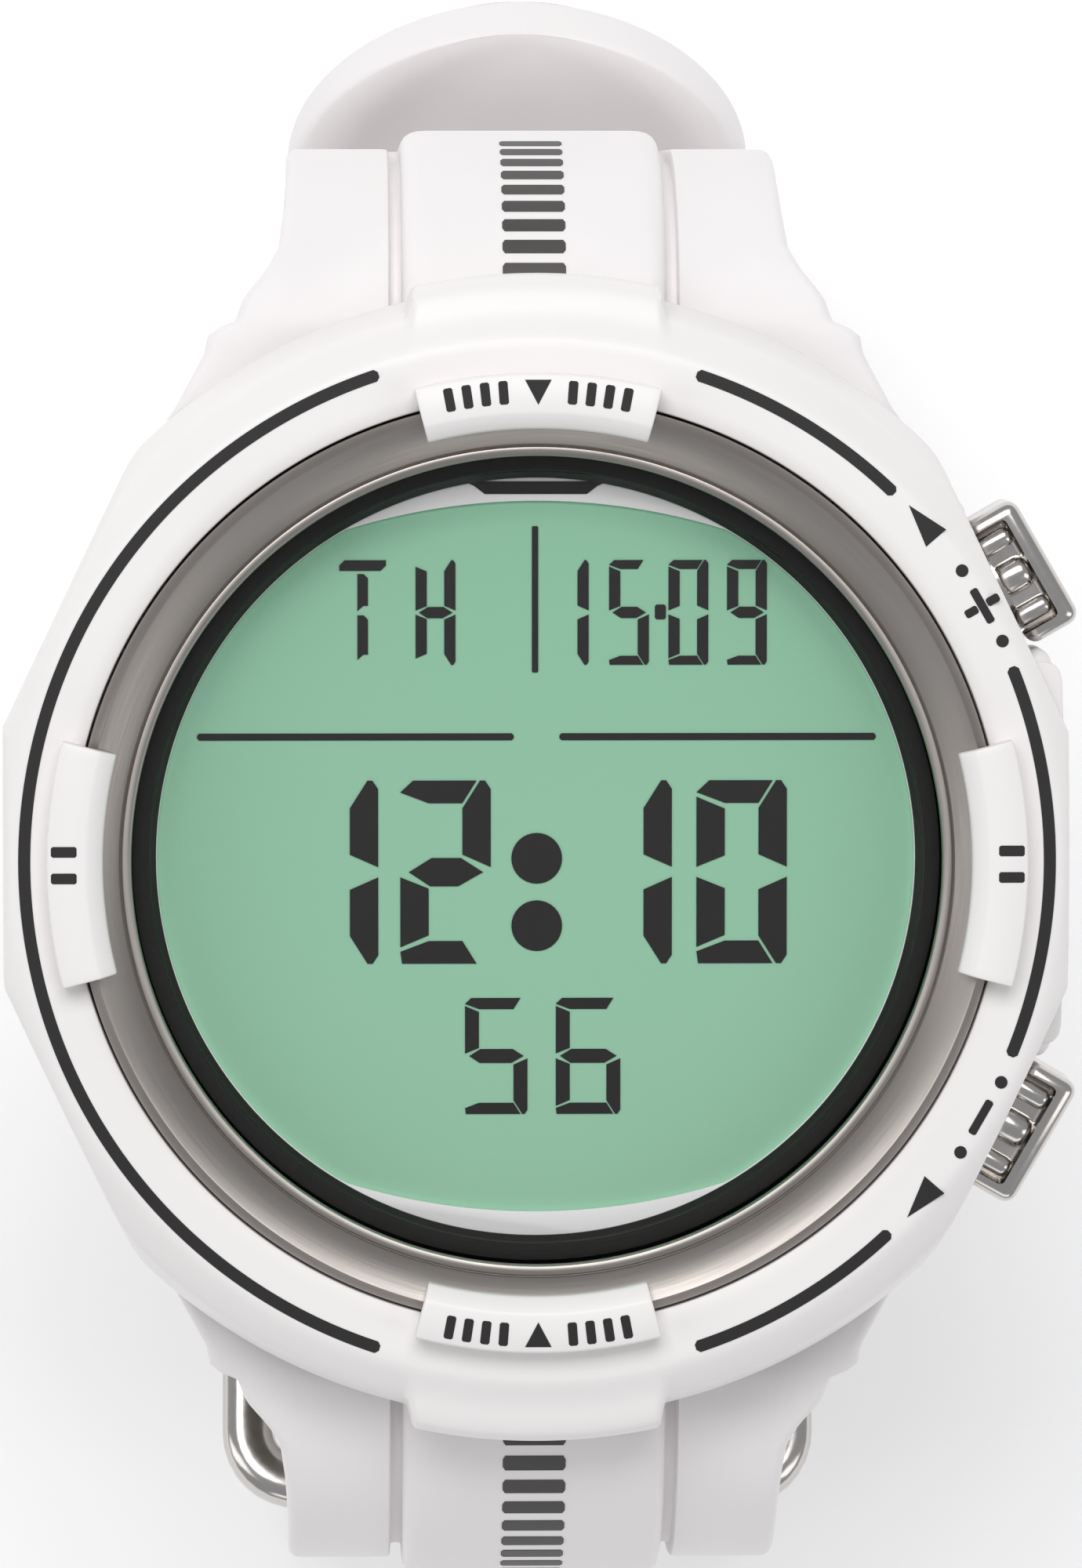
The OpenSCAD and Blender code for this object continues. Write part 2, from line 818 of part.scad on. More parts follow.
// The thick end of a strap half round its lug pin, wider than the strap itself
module strap_shoulder(s, reach) {
    difference() {
        intersection() {
            union() {
                along_x(19)
                    polygon(concat(
                        [[s * 20.35, case_z + 3], [s * 20.35, case_z + 7]],
                        [for (p = rib_yz(s, reach, strap_t / 2)) if (abs(p[0]) < shoulder_end) p],
                        reversed([for (p = rib_yz(s, reach, -strap_t / 2)) if (abs(p[0]) < shoulder_end) p]),
                        [[s * pin_y, case_z + pin_z - knuckle_r]]
                    ));
                pin_along_x([s * pin_y, case_z + pin_z], knuckle_r, 15.5);
            }
            mirror([0, s < 0 ? 1 : 0, 0]) translate([0, 0, case_z - 10]) linear_extrude(30) shoulder_plan();
        }
        pin_along_x([s * pin_y, case_z + pin_z], pin_r + running, 20);
        for (m = [0, 1])
            mirror([m, 0, 0])
                translate([ear_x[0] - 0.3, s * 22.65 - 2.65, case_z - 5])
                    cube([ear_x[1] - ear_x[0] + 0.6, 5.3, 12.3]);
        // Room for the case corner beside the pocket
        at_case(-1) linear_extrude(10) intersection() {
            side_facets(shelf_inset - 0.15);
            difference() {
                circle(r = 25.55);
                square([2 * pocket_x - 0.1, 60], center = true);
            }
        }
    }
}

module strap_band(outer, inner) {
    along_x(strap_w / 2) polygon(concat(outer, reversed(inner)));
}

module strap_rib(s, reach) {
    along_x(rib_w / 2)
        polygon(concat(
            [for (p = rib_yz(s, reach, strap_t / 2 + rib_h)) if (abs(p[0]) > rib_start) p],
            reversed([for (p = rib_yz(s, reach, strap_t / 2 - 0.3)) if (abs(p[0]) > rib_start) p])
        ));
}

// What is cut away round the tail's half-elliptic tip
module tip_cut() {
    translate([0, tail_end[0], tail_end[1]])
        rotate([tail_slope, 0, 0])
            translate([0, tail_l - tip_l, -3])
                linear_extrude(6)
                    difference() {
                        translate([-20, 0]) square([40, 20]);
                        polygon([for (a = [-90:9:270]) [tip_half * cos(a), tip_l * sin(a)]]);
                    }
}

// Adjustment holes through the flat stretch, and the slot that the prong passes
module strap_holes() {
    for (y = [-12:6:12]) translate([0, y, -1]) cylinder(r = 1.2, h = 6);
    translate([0, buckle_pin_at[0], buckle_pin_at[1]])
        rotate([-frame_slope, 0, 0])
            translate([-prong_w / 2 - 0.3, -frame_l, -2.4])
                cube([prong_w + 0.6, frame_l - 4.5, 3.8]);
}

module strap_long() {
    color(white) {
        difference() {
            strap_band(long_yz(strap_t / 2), long_yz(-strap_t / 2));
            tip_cut();
            strap_holes();
            lug_room(-1);
        }
        strap_rib(-1, lower_reach);
        strap_shoulder(-1, lower_reach);
    }
}

// Space under the strap's top for the case ears and the pin
module lug_room(s) {
    translate([-20, s * 22.65 - 2.65, case_z - 5]) cube([40, 5.3, 20]);
}

module strap_short() {
    color(white) {
        difference() {
            union() {
                strap_band(short_yz(strap_t / 2), short_yz(-strap_t / 2));
                pin_along_x(buckle_pin_at, buckle_knuckle_r, strap_w / 2 - 0.1);
            }
            pin_along_x(buckle_pin_at, buckle_pin_r + running, 20);
            translate([-prong_w / 2 - 0.4, buckle_pin_at[0] - 6, 3]) cube([prong_w + 0.8, 9, 8]);
            lug_room(1);
        }
        strap_rib(1, upper_reach);
        strap_shoulder(1, upper_reach);
    }
}

// A ladder of dark bars on a rib, lying on the surface of the strap's shoulder curve
module strap_marks(s, reach) {
    p = rib_yz(s, reach, strap_t / 2 + rib_h);
    color("#40403e")
        for (i = [4:9])
            let (a = p[i], b = p[i + 1], mid = (a + b) / 2, tilt = atan2(b[1] - a[1], b[0] - a[0]))
                translate([0, mid[0], mid[1]])
                    rotate([tilt, 0, 0])
                        translate([-1.5, -0.45, s > 0 ? 0 : -0.05])
                            cube([3, 0.9, 0.05]);
}

module strap_marks_upper() { strap_marks(1, upper_reach); }
module strap_marks_lower() { strap_marks(-1, lower_reach); }

// ---------------------------------------------------------------- buckle

// The child's -Y runs from the buckle pin to the bow, and -Z faces away from the wrist
module at_buckle() {
    translate([0, buckle_pin_at[0], buckle_pin_at[1]]) rotate([-frame_slope, 0, 0]) children();
}

module rounded(w, l, r) {
    for (x = [-w / 2 + r, w / 2 - r], y = [-l / 2 + r, l / 2 - r]) translate([x, y]) circle(r = r, $fn = 32);
    square([w - 2 * r, l], center = true);
    square([w, l - 2 * r], center = true);
}

module buckle_frame() {
    outer_l = frame_l + 1.8 + bow_r;
    color(steel)
        difference() {
            at_buckle()
                translate([0, 1.8 - outer_l / 2, -bow_r])
                    linear_extrude(2 * bow_r)
                        difference() {
                            rounded(buckle_w, outer_l, 2.4);
                            translate([0, bow_r]) square([2 * rail_in, outer_l - 2 * bow_r], center = true);
                            translate([0, outer_l / 2]) square([2 * rail_in, 8], center = true);
                        }
            pin_along_x(buckle_pin_at, buckle_pin_r + running, 20);
        }
}

module buckle_pin() {
    color(steel) pin_along_x(buckle_pin_at, buckle_pin_r, buckle_w / 2 - 0.2);
}

module buckle_prong() {
    color(steel)
        difference() {
            union() {
                pin_along_x(buckle_pin_at, 1.8, prong_w / 2);
                at_buckle()
                    rotate([atan((bow_r + prong_h / 2 + 0.22) / frame_l), 0, 0])
                        translate([-prong_w / 2, -frame_l - 0.9, -prong_h / 2])
                            cube([prong_w, frame_l, prong_h]);
            }
            pin_along_x(buckle_pin_at, buckle_pin_r + running, 20);
        }
}

// ---------------------------------------------------------------- keepers

module keeper(y, l) {
    gap = 0.15;
    inner_w = strap_w + 2 * gap;
    inner_h = short_z + strap_t / 2 + gap - keeper_wall;
    outer_w = inner_w + 2;
    outer_h = inner_h + 2 * keeper_wall;
    color(white)
        translate([0, y - l / 2, 0])
            difference() {
                translate([-outer_w / 2, 0, 0]) cube([outer_w, l, outer_h]);
                translate([-inner_w / 2, -1, keeper_wall]) cube([inner_w, l + 2, inner_h]);
            }
}

module fixed_keeper() { keeper(0, 7); }
module sliding_keeper() { keeper(-9.5, 5); }

// ---------------------------------------------------------------- all nodes

case_body();
case_back();
case_back_seal();
case_back_screws();
bezel_cover();
bezel_marks();
bezel_ring();
chapter_ring();
lens();
lens_seal();
display_mask();
lcd_panel();
lcd_segments();
backlight_plate();
zebra_strips();
display_frame();
battery_frame();
circuit_board();
board_chips();
board_screws();
button_switches();
pressure_sensor();
sensor_seal();
sensor_grille();
buzzer();
wet_contacts();
battery();
battery_contacts();
battery_cap();
battery_cap_seal();
select_button();
escape_button();
select_spring();
escape_spring();
button_bushings();
select_seal();
escape_seal();
select_clip();
escape_clip();
lug_pin_upper();
lug_pin_lower();
strap_long();
strap_short();
strap_marks_upper();
strap_marks_lower();
buckle_frame();
buckle_pin();
buckle_prong();
fixed_keeper();
sliding_keeper();
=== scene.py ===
"""The looks of a white wrist dive computer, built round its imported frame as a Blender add-on."""

import json
import math

import bpy
import numpy as np
from mathutils import Matrix, Vector


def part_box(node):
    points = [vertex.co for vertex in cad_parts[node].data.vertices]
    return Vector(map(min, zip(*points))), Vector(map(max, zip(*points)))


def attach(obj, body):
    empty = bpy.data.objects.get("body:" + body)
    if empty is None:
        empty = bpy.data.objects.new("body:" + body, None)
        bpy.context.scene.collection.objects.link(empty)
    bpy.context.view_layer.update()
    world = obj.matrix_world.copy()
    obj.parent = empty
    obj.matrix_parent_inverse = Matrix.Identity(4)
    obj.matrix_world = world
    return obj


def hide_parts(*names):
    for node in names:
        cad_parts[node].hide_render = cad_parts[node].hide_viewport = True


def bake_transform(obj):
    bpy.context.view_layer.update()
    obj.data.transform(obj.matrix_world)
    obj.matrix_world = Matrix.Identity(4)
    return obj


bl_info = {
    "name": "Dive computer looks",
    "version": (1, 0, 0),
    "blender": (4, 5, 0),
    "location": "View3D > Sidebar > Dive computer",
    "description": "Builds the visible shells, strap, display and finishes of a wrist dive computer",
    "category": "Add Mesh",
}

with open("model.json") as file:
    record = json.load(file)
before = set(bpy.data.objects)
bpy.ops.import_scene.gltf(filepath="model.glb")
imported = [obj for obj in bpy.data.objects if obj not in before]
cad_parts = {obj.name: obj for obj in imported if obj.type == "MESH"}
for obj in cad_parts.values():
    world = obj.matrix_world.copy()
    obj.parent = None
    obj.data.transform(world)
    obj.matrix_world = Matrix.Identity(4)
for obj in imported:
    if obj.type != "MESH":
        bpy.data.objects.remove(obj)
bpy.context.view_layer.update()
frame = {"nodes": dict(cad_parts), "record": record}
MM = 0.001


def node_box(node):
    """Lowest and highest corner of a frame node, in millimetres."""
    low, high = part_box(node)
    return [v / MM for v in low], [v / MM for v in high]


# Places taken from the frame, in millimetres
CASE_Z = node_box("case_back")[0][2]
LUG_LOW, LUG_HIGH = node_box("lug_pin_upper")
PIN_Y = (LUG_LOW[1] + LUG_HIGH[1]) / 2
PIN_Z = (LUG_LOW[2] + LUG_HIGH[2]) / 2 - CASE_Z
BUCKLE_LOW, BUCKLE_HIGH = node_box("buckle_pin")
BUCKLE_Y = (BUCKLE_LOW[1] + BUCKLE_HIGH[1]) / 2
BUCKLE_Z = (BUCKLE_LOW[2] + BUCKLE_HIGH[2]) / 2

# Heights above the case back, in millimetres
FACE_Z = 13.9
TAB_Z = 15.4
BUTTON_Z = 5.3
PANEL_Z = 9.7
MASK_TOP = 10.0


class WatchSizes(bpy.types.PropertyGroup):
    """Sizes of the visible pieces, in millimetres and degrees."""

    bezel_half: bpy.props.FloatProperty(
        name="Bezel half-width", description="Half-width at 3 and 9 o'clock, mm", default=25.05
    )
    facet_r: bpy.props.FloatProperty(
        name="Facet distance", description="Distance of the slanted facets from the centre, mm", default=25.2
    )
    facet_angle: bpy.props.FloatProperty(
        name="Facet direction", description="Direction of the slanted facets, degrees", default=25.5
    )
    stripe_r: bpy.props.FloatProperty(
        name="Stripe radius", description="Inner radius of the black stripes, mm", default=23.7
    )
    stripe_w: bpy.props.FloatProperty(name="Stripe width", description="Width of the stripes, mm", default=0.57)
    button_angle: bpy.props.FloatProperty(
        name="Button angle", description="Angle of each button from the 3 o'clock line, degrees", default=30
    )
    strap_w: bpy.props.FloatProperty(name="Strap width", description="Width of the strap, mm", default=23.6)
    strap_t: bpy.props.FloatProperty(
        name="Strap thickness", description="Thickness of the strap, mm", default=2.6
    )


class WatchColours(bpy.types.PropertyGroup):
    """Colours of the visible finishes, as sRGB hex values."""

    case_white: bpy.props.StringProperty(
        name="Case white", description="Moulded technopolymer of case and bezel", default="#EDE9E8"
    )
    strap_white: bpy.props.StringProperty(name="Strap white", description="Elastomer strap", default="#EDE9E9")
    inlay: bpy.props.StringProperty(
        name="Inlay black", description="Stripes, symbols and display figures", default="#0F0D0C"
    )
    print_grey: bpy.props.StringProperty(name="Print grey", description="Print on the strap", default="#40403E")
    steel: bpy.props.StringProperty(name="Steel", description="Brushed and polished steel", default="#A29C97")
    # Painted shade: the display green is set darker at the top and lighter at its foot
    display: bpy.props.StringProperty(name="Display green", description="Top of the display", default="#98D0AE")
    display_lit_foot: bpy.props.StringProperty(name="Display green, low", description="Its foot", default="#A3D7B6")
    mask: bpy.props.StringProperty(name="Mask", description="Plate round the display", default="#FCFAF9")


# ---------------------------------------------------------------- modelling


def begin():
    """Object mode with nothing selected."""
    if bpy.context.object and bpy.context.object.mode != "OBJECT":
        bpy.ops.object.mode_set(mode="OBJECT")
    bpy.ops.object.select_all(action="DESELECT")


def only(obj):
    """Makes obj the one selected and active object."""
    begin()
    obj.select_set(True)
    bpy.context.view_layer.objects.active = obj
    return obj


def edit(obj):
    """Edit mode on obj with all of it selected."""
    only(obj)
    bpy.ops.object.mode_set(mode="EDIT")
    bpy.ops.mesh.select_all(action="SELECT")


def done(obj):
    """Back to object mode, with faces outwards."""
    bpy.ops.mesh.normals_make_consistent(inside=False)
    bpy.ops.object.mode_set(mode="OBJECT")
    return obj


def place(obj, points):
    """Puts obj's vertices at points, given in millimetres above the floor."""
    flat = np.array(points, np.float64).reshape(-1) * MM
    obj.data.vertices.foreach_set("co", flat.astype(np.float32))
    obj.data.update()


def points_of(obj):
    """obj's vertices as an array in millimetres."""
    flat = np.empty(len(obj.data.vertices) * 3, np.float32)
    obj.data.vertices.foreach_get("co", flat)
    return flat.reshape(-1, 3).astype(np.float64) / MM


def loop(name, points, fill="NOTHING"):
    """A closed loop of edges through points, or a face with fill NGON."""
    begin()
    bpy.ops.mesh.primitive_circle_add(vertices=len(points), radius=MM, fill_type=fill)
    obj = bpy.context.object
    obj.name = obj.data.name = name
    place(obj, points)
    return obj


def plate(name, outline, low, high):
    """A flat plate with that outline in X and Y, between two heights."""
    obj = loop(name, [(x, y, low) for x, y in outline], fill="NGON")
    edit(obj)
    bpy.ops.mesh.extrude_region_move(TRANSFORM_OT_translate={"value": (0, 0, (high - low) * MM)})
    bpy.ops.mesh.select_all(action="SELECT")
    return done(obj)


def lathe(name, profile, steps=256, start=0.0, turn=360.0):
    """A closed profile in radius and height above the case back, spun about the case's middle from start."""
    c, s = math.cos(math.radians(start)), math.sin(math.radians(start))
    obj = loop(name, [(r * c, r * s, CASE_Z + z) for r, z in profile])
    edit(obj)
    bpy.ops.mesh.spin(steps=steps, angle=math.radians(turn), center=(0, 0, 0), axis=(0, 0, 1))
    bpy.ops.mesh.select_all(action="SELECT")
    if turn == 360.0:
        bpy.ops.mesh.remove_doubles(threshold=1e-7)
    else:
        bpy.ops.mesh.fill_holes(sides=0)
    bpy.ops.mesh.select_all(action="SELECT")
    return done(obj)


def sleeve(name, rows):
    """A closed skin through rows of points, each row a loop whose last point is its first."""
    begin()
    across, along = len(rows[0]), len(rows)
    bpy.ops.mesh.primitive_grid_add(x_subdivisions=across - 1, y_subdivisions=along - 1, size=1)
    obj = bpy.context.object
    obj.name = obj.data.name = name
    at = points_of(obj)
    order = np.lexsort((np.round(at[:, 0], 3), np.round(at[:, 1], 3)))
    new = np.empty_like(at)
    new[order] = np.array(rows, np.float64).reshape(-1, 3)
    place(obj, new)
    edit(obj)
    bpy.ops.mesh.remove_doubles(threshold=1e-7)
    bpy.ops.mesh.select_all(action="SELECT")
    bpy.ops.mesh.fill_holes(sides=0)
    bpy.ops.mesh.select_all(action="SELECT")
    return done(obj)


def modify(obj, kind, **settings):
    """Adds a modifier with its settings and applies it."""
    only(obj)
    modifier = obj.modifiers.new(kind.title(), kind)
    for key, value in settings.items():
        setattr(modifier, key, value)
    bpy.ops.object.modifier_apply(modifier=modifier.name)
    return obj


def rounded(obj, width, segments=3, angle=30.0):
    """Rounds every edge sharper than angle."""
    return modify(
        obj, "BEVEL", width=width * MM, segments=segments, limit_method="ANGLE", angle_limit=math.radians(angle)
    )


def cut_away(obj, tool):
    """Takes the tool's shape out of obj."""
    modify(obj, "BOOLEAN", operation="DIFFERENCE", object=tool, solver="EXACT")
    bpy.data.objects.remove(tool, do_unlink=True)
    return obj


def join(name, parts):
    """Joins parts into one object."""
    begin()
    for part in parts:
        part.select_set(True)
    bpy.context.view_layer.objects.active = parts[0]
    if len(parts) > 1:
        bpy.ops.object.join()
    parts[0].name = parts[0].data.name = name
    return parts[0]


def block(name, centre, size, turn=0.0):
    """A box with its place and turn about Z, before its edges are rounded."""
    begin()
    bpy.ops.mesh.primitive_cube_add(size=1)
    obj = bpy.context.object
    obj.name = obj.data.name = name
    unit = points_of(obj) * MM
    c, s = math.cos(math.radians(turn)), math.sin(math.radians(turn))
    sized = unit * np.array(size)
    x = centre[0] + sized[:, 0] * c - sized[:, 1] * s
    y = centre[1] + sized[:, 0] * s + sized[:, 1] * c
    place(obj, np.stack([x, y, centre[2] + sized[:, 2]], 1))
    return obj


def rod(name, start, end, radius, vertices=48):
    """A straight round bar from start to end."""
    begin()
    a, b = Vector(start) * MM, Vector(end) * MM
    turn = (b - a).to_track_quat("Z", "Y").to_euler()
    bpy.ops.mesh.primitive_cylinder_add(
        vertices=vertices, radius=radius * MM, depth=(b - a).length, location=(a + b) / 2, rotation=turn
    )
    obj = bpy.context.object
    obj.name = obj.data.name = name
    bpy.ops.object.transform_apply(location=True, rotation=True, scale=True)
    return obj


def turned(obj, degrees):
    """Turns obj's mesh about the middle of the case."""
    at = points_of(obj)
    c, s = math.cos(math.radians(degrees)), math.sin(math.radians(degrees))
    place(obj, np.stack([at[:, 0] * c - at[:, 1] * s, at[:, 0] * s + at[:, 1] * c, at[:, 2]], 1))
    return obj


def copied(obj, name):
    """A copy of obj with its own mesh."""
    begin()
    new = obj.copy()
    new.data = obj.data.copy()
    new.name = new.data.name = name
    bpy.context.collection.objects.link(new)
    return new


def finish(obj, material, body, nodes=(), smooth=35.0):
    """Shades and paints a piece, ties it to its body, and hides the nodes it stands for."""
    only(obj)
    bpy.ops.object.shade_smooth_by_angle(angle=math.radians(smooth))
    obj.data.materials.clear()
    obj.data.materials.append(material)
    if body:
        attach(obj, body)
    if nodes:
        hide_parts(*nodes)
    return obj


def ease(t):
    """A smooth step from 0 to 1."""
    t = np.clip(t, 0.0, 1.0)
    return t * t * (3 - 2 * t)


def soft_min(a, b, k):
    """The smaller of a and b, with the crossing rounded over k."""
    h = np.clip(0.5 + 0.5 * (b - a) / k, 0.0, 1.0)
    return b * (1 - h) + a * h - k * h * (1 - h)


# ---------------------------------------------------------------- materials


def linear(hex_colour):
    """An sRGB hex colour as linear red, green, blue and alpha."""
    parts = [int(hex_colour[i : i + 2], 16) / 255 for i in (1, 3, 5)]
    return [c / 12.92 if c <= 0.04045 else ((c + 0.055) / 1.055) ** 2.4 for c in parts] + [1.0]


def add_node(tree, kind, settings=None, inputs=None, links=None):
    """Adds a shader node, sets its properties and inputs, and links other nodes' outputs to it."""
    new = tree.nodes.new(kind)
    for key, value in (settings or {}).items():
        setattr(new, key, value)
    for key, value in (inputs or {}).items():
        new.inputs[key].default_value = value
    for key, (source, output) in (links or {}).items():
        tree.links.new(source.outputs[output], new.inputs[key])
    return new


def new_material(name, colour, **inputs):
    """A material with a Principled shader; returns it with its tree and shader."""
    material = bpy.data.materials.new(name)
    material.use_nodes = True
    tree = material.node_tree
    shader = tree.nodes["Principled BSDF"]
    shader.inputs["Base Color"].default_value = linear(colour)
    for key, value in inputs.items():
        shader.inputs[key.replace("_", " ")].default_value = value
    return material, tree, shader


def grain(tree, shader, size_mm, depth_mm, strength=1.0, detail=3.0):
    """A fine moulded grain as bump, with its real size and depth."""
    coords = add_node(tree, "ShaderNodeTexCoord")
    noise = add_node(
        tree,
        "ShaderNodeTexNoise",
        inputs={"Scale": 1 / (size_mm * MM), "Detail": detail, "Roughness": 0.6},
        links={"Vector": (coords, "Object")},
    )
    bump = add_node(
        tree,
        "ShaderNodeBump",
        inputs={"Strength": strength, "Distance": depth_mm * MM},
        links={"Height": (noise, "Fac")},
    )
    tree.links.new(bump.outputs["Normal"], shader.inputs["Normal"])
    return noise


def mottle(tree, shader, colour_a, colour_b, size_mm):
    """A faint drift between two near colours over a few millimetres."""
    coords = add_node(tree, "ShaderNodeTexCoord")
    noise = add_node(
        tree,
        "ShaderNodeTexNoise",
        inputs={"Scale": 1 / (size_mm * MM), "Detail": 4.0},
        links={"Vector": (coords, "Object")},
    )
    mix = add_node(
        tree,
        "ShaderNodeMix",
        {"data_type": "RGBA"},
        {6: linear(colour_a), 7: linear(colour_b)},
        {0: (noise, "Fac")},
    )
    tree.links.new(mix.outputs[2], shader.inputs["Base Color"])


def technopolymer(name, colour):
    """Injection-moulded technopolymer: a satin skin with a spark-eroded grain of about 0.2 mm."""
    material, tree, shader = new_material(name, colour, Roughness=0.42, IOR=1.52)
    mottle(tree, shader, colour, "#F1EDEB", 6.0)
    grain(tree, shader, 0.22, 0.006, 0.55)
    return material


def elastomer(name, colour):
    """Moulded elastomer: soft, matt and slightly velvety, with a fine 0.15 mm mould texture."""
    material, tree, shader = new_material(name, colour, Roughness=0.56, IOR=1.5)
    shader.inputs["Sheen Weight"].default_value = 0.12
    shader.inputs["Sheen Roughness"].default_value = 0.5
    mottle(tree, shader, colour, "#F2EEED", 9.0)
    grain(tree, shader, 0.17, 0.007, 0.6)
    return material


def inlay_paint(name, colour, colour_b):
    """Pad-printed lacquer: dense, thin and slightly uneven in gloss."""
    material, tree, shader = new_material(name, colour, Roughness=0.5, IOR=1.5)
    mottle(tree, shader, colour, colour_b, 1.5)
    grain(tree, shader, 0.12, 0.004, 0.5)
    return material


def brushed_ring_steel(name, colour):
    """Stainless steel brushed round the ring: concentric scratches of about 0.06 mm, drawn at 0.12 mm to show."""
    material, tree, shader = new_material(name, colour, Metallic=1.0, Roughness=0.38)
    shader.inputs["Anisotropic"].default_value = 0.55
    coords = add_node(tree, "ShaderNodeTexCoord")
    split = add_node(tree, "ShaderNodeSeparateXYZ", links={"Vector": (coords, "Object")})
    times = {"operation": "MULTIPLY"}
    scratch = 1 / (0.12 * MM)
    angle = add_node(tree, "ShaderNodeMath", {"operation": "ARCTAN2"}, links={0: (split, "Y"), 1: (split, "X")})
    around = add_node(tree, "ShaderNodeMath", times, {1: 6.0}, {0: (angle, 0)})
    flat = add_node(tree, "ShaderNodeCombineXYZ", links={"X": (split, "X"), "Y": (split, "Y")})
    radius = add_node(tree, "ShaderNodeVectorMath", {"operation": "LENGTH"}, links={0: (flat, 0)})
    across = add_node(tree, "ShaderNodeMath", times, {1: scratch}, {0: (radius, "Value")})
    height = add_node(tree, "ShaderNodeMath", times, {1: scratch}, {0: (split, "Z")})
    lay = add_node(tree, "ShaderNodeCombineXYZ", links={"X": (across, 0), "Y": (around, 0), "Z": (height, 0)})
    noise = add_node(tree, "ShaderNodeTexNoise", inputs={"Scale": 1.0, "Detail": 2.0}, links={"Vector": (lay, 0)})
    rough = add_node(
        tree, "ShaderNodeMapRange", inputs={"To Min": 0.32, "To Max": 0.5}, links={"Value": (noise, "Fac")}
    )
    tree.links.new(rough.outputs[0], shader.inputs["Roughness"])
    bump = add_node(
        tree, "ShaderNodeBump", inputs={"Strength": 0.5, "Distance": 0.005 * MM}, links={"Height": (noise, "Fac")}
    )
    tree.links.new(bump.outputs["Normal"], shader.inputs["Normal"])
    tangent = add_node(tree, "ShaderNodeTangent", {"direction_type": "RADIAL", "axis": "Z"})
    tree.links.new(tangent.outputs[0], shader.inputs["Tangent"])
    return material


def polished_steel(name, colour, roughness=0.16):
    """Polished stainless steel: bright, with faint wiping marks a few millimetres long."""
    material, tree, shader = new_material(name, colour, Metallic=1.0, Roughness=roughness)
    coords = add_node(tree, "ShaderNodeTexCoord")
    stretch = add_node(
        tree, "ShaderNodeMapping", inputs={"Scale": (1.0, 1.0, 0.15)}, links={"Vector": (coords, "Object")}
    )
    noise = add_node(
        tree,
        "ShaderNodeTexNoise",
        inputs={"Scale": 1 / (0.5 * MM), "Detail": 5.0},
        links={"Vector": (stretch, 0)},
    )
    rough = add_node(
        tree,
        "ShaderNodeMapRange",
        inputs={"To Min": roughness - 0.04, "To Max": roughness + 0.1},
        links={"Value": (noise, "Fac")},
    )
    tree.links.new(rough.outputs[0], shader.inputs["Roughness"])
    return material


def clear_glass(name):
    """Mineral glass over a display: almost nothing but a faint reflection."""
    material, _, shader = new_material(name, "#101413", Roughness=0.03, IOR=1.45)
    shader.inputs["Alpha"].default_value = 0.06
    return material


def display_green(name, colour, colour_lit_foot):
    """Reflective liquid crystal panel: an even green with painted shade, darker towards the top and lighter at
    the foot, with a fine sparkle.
    """
    material, tree, shader = new_material(name, colour, Roughness=0.6, IOR=1.5)
    coords = add_node(tree, "ShaderNodeTexCoord")
    split = add_node(tree, "ShaderNodeSeparateXYZ", links={"Vector": (coords, "Object")})
    # Painted shade: the green is mixed darker towards the top and lighter towards the foot
    shade_rise = add_node(
        tree,
        "ShaderNodeMapRange",
        inputs={"From Min": -17 * MM, "From Max": 17 * MM},
        links={"Value": (split, "Y")},
    )
    mix = add_node(
        tree,
        "ShaderNodeMix",
        {"data_type": "RGBA"},
        {6: linear(colour_lit_foot), 7: linear(colour)},
        {0: (shade_rise, 0)},
    )
    tree.links.new(mix.outputs[2], shader.inputs["Base Color"])
    grain(tree, shader, 0.1, 0.003, 0.3)
    return material


def plain_plastic(name, colour, roughness=0.5):
    """Moulded plastic of a hidden or underside piece, with a 0.3 mm eroded grain."""
    material, tree, shader = new_material(name, colour, Roughness=roughness, IOR=1.5)
    grain(tree, shader, 0.3, 0.01, 0.6)
    return material


MATERIALS = {}


def make_materials():
    """Every finish, by the record's material slot."""
    colours = bpy.context.scene.watch_colours
    MATERIALS.update(
        {
            "white_case": technopolymer("technopolymer_case", colours.case_white),
            "white_bezel": technopolymer("technopolymer_bezel", colours.case_white),
            "white_strap": elastomer("elastomer_strap", colours.strap_white),
            "black_print": inlay_paint("lacquer_black", colours.inlay, "#1B1716"),
            "grey_print": inlay_paint("lacquer_grey", colours.print_grey, "#4A4745"),
            "brushed_ring": brushed_ring_steel("steel_brushed", colours.steel),
            "polished_steel": polished_steel("steel_polished", "#CBC7C3"),
            "plain_steel": polished_steel("steel_turned", "#A9A6A2", 0.3),
            "black_ring": plain_plastic("polycarbonate_black", "#1C1917", 0.32),
            "lens_glass": clear_glass("mineral_glass"),
            "mask_plate": plain_plastic("polycarbonate_mask", colours.mask, 0.55),
            "lcd_green": display_green("liquid_crystal_panel", colours.display, colours.display_lit_foot),
            "grey_back": plain_plastic("nylon_back", "#56544F", 0.5),
            "seal_rubber": plain_plastic("nitrile_seal", "#1A1918", 0.6),
            "frame_plastic": plain_plastic("acetal_frame", "#CFCBC2", 0.5),
            "dark_frame": plain_plastic("nylon_frame", "#3A3836", 0.55),
            "board_green": plain_plastic("glass_epoxy_board", "#25603C", 0.4),
            "chip_black": plain_plastic("epoxy_package", "#222225", 0.5),
            "gold_contact": polished_steel("gold_plated_contact", "#D9B25A", 0.22),
            "cell_steel": polished_steel("nickel_plated_cell", "#C6C4BE", 0.25),
            "light_plate": plain_plastic("acrylic_light_guide", "#E4EFE4", 0.2),
        }
    )
    slots = {s["node"]: s["material_slot"] for s in frame["record"]["subparts"]}
    for name, obj in frame["nodes"].items():
        obj.data.materials.clear()
        obj.data.materials.append(MATERIALS[slots[name]])


# ---------------------------------------------------------------- bezel


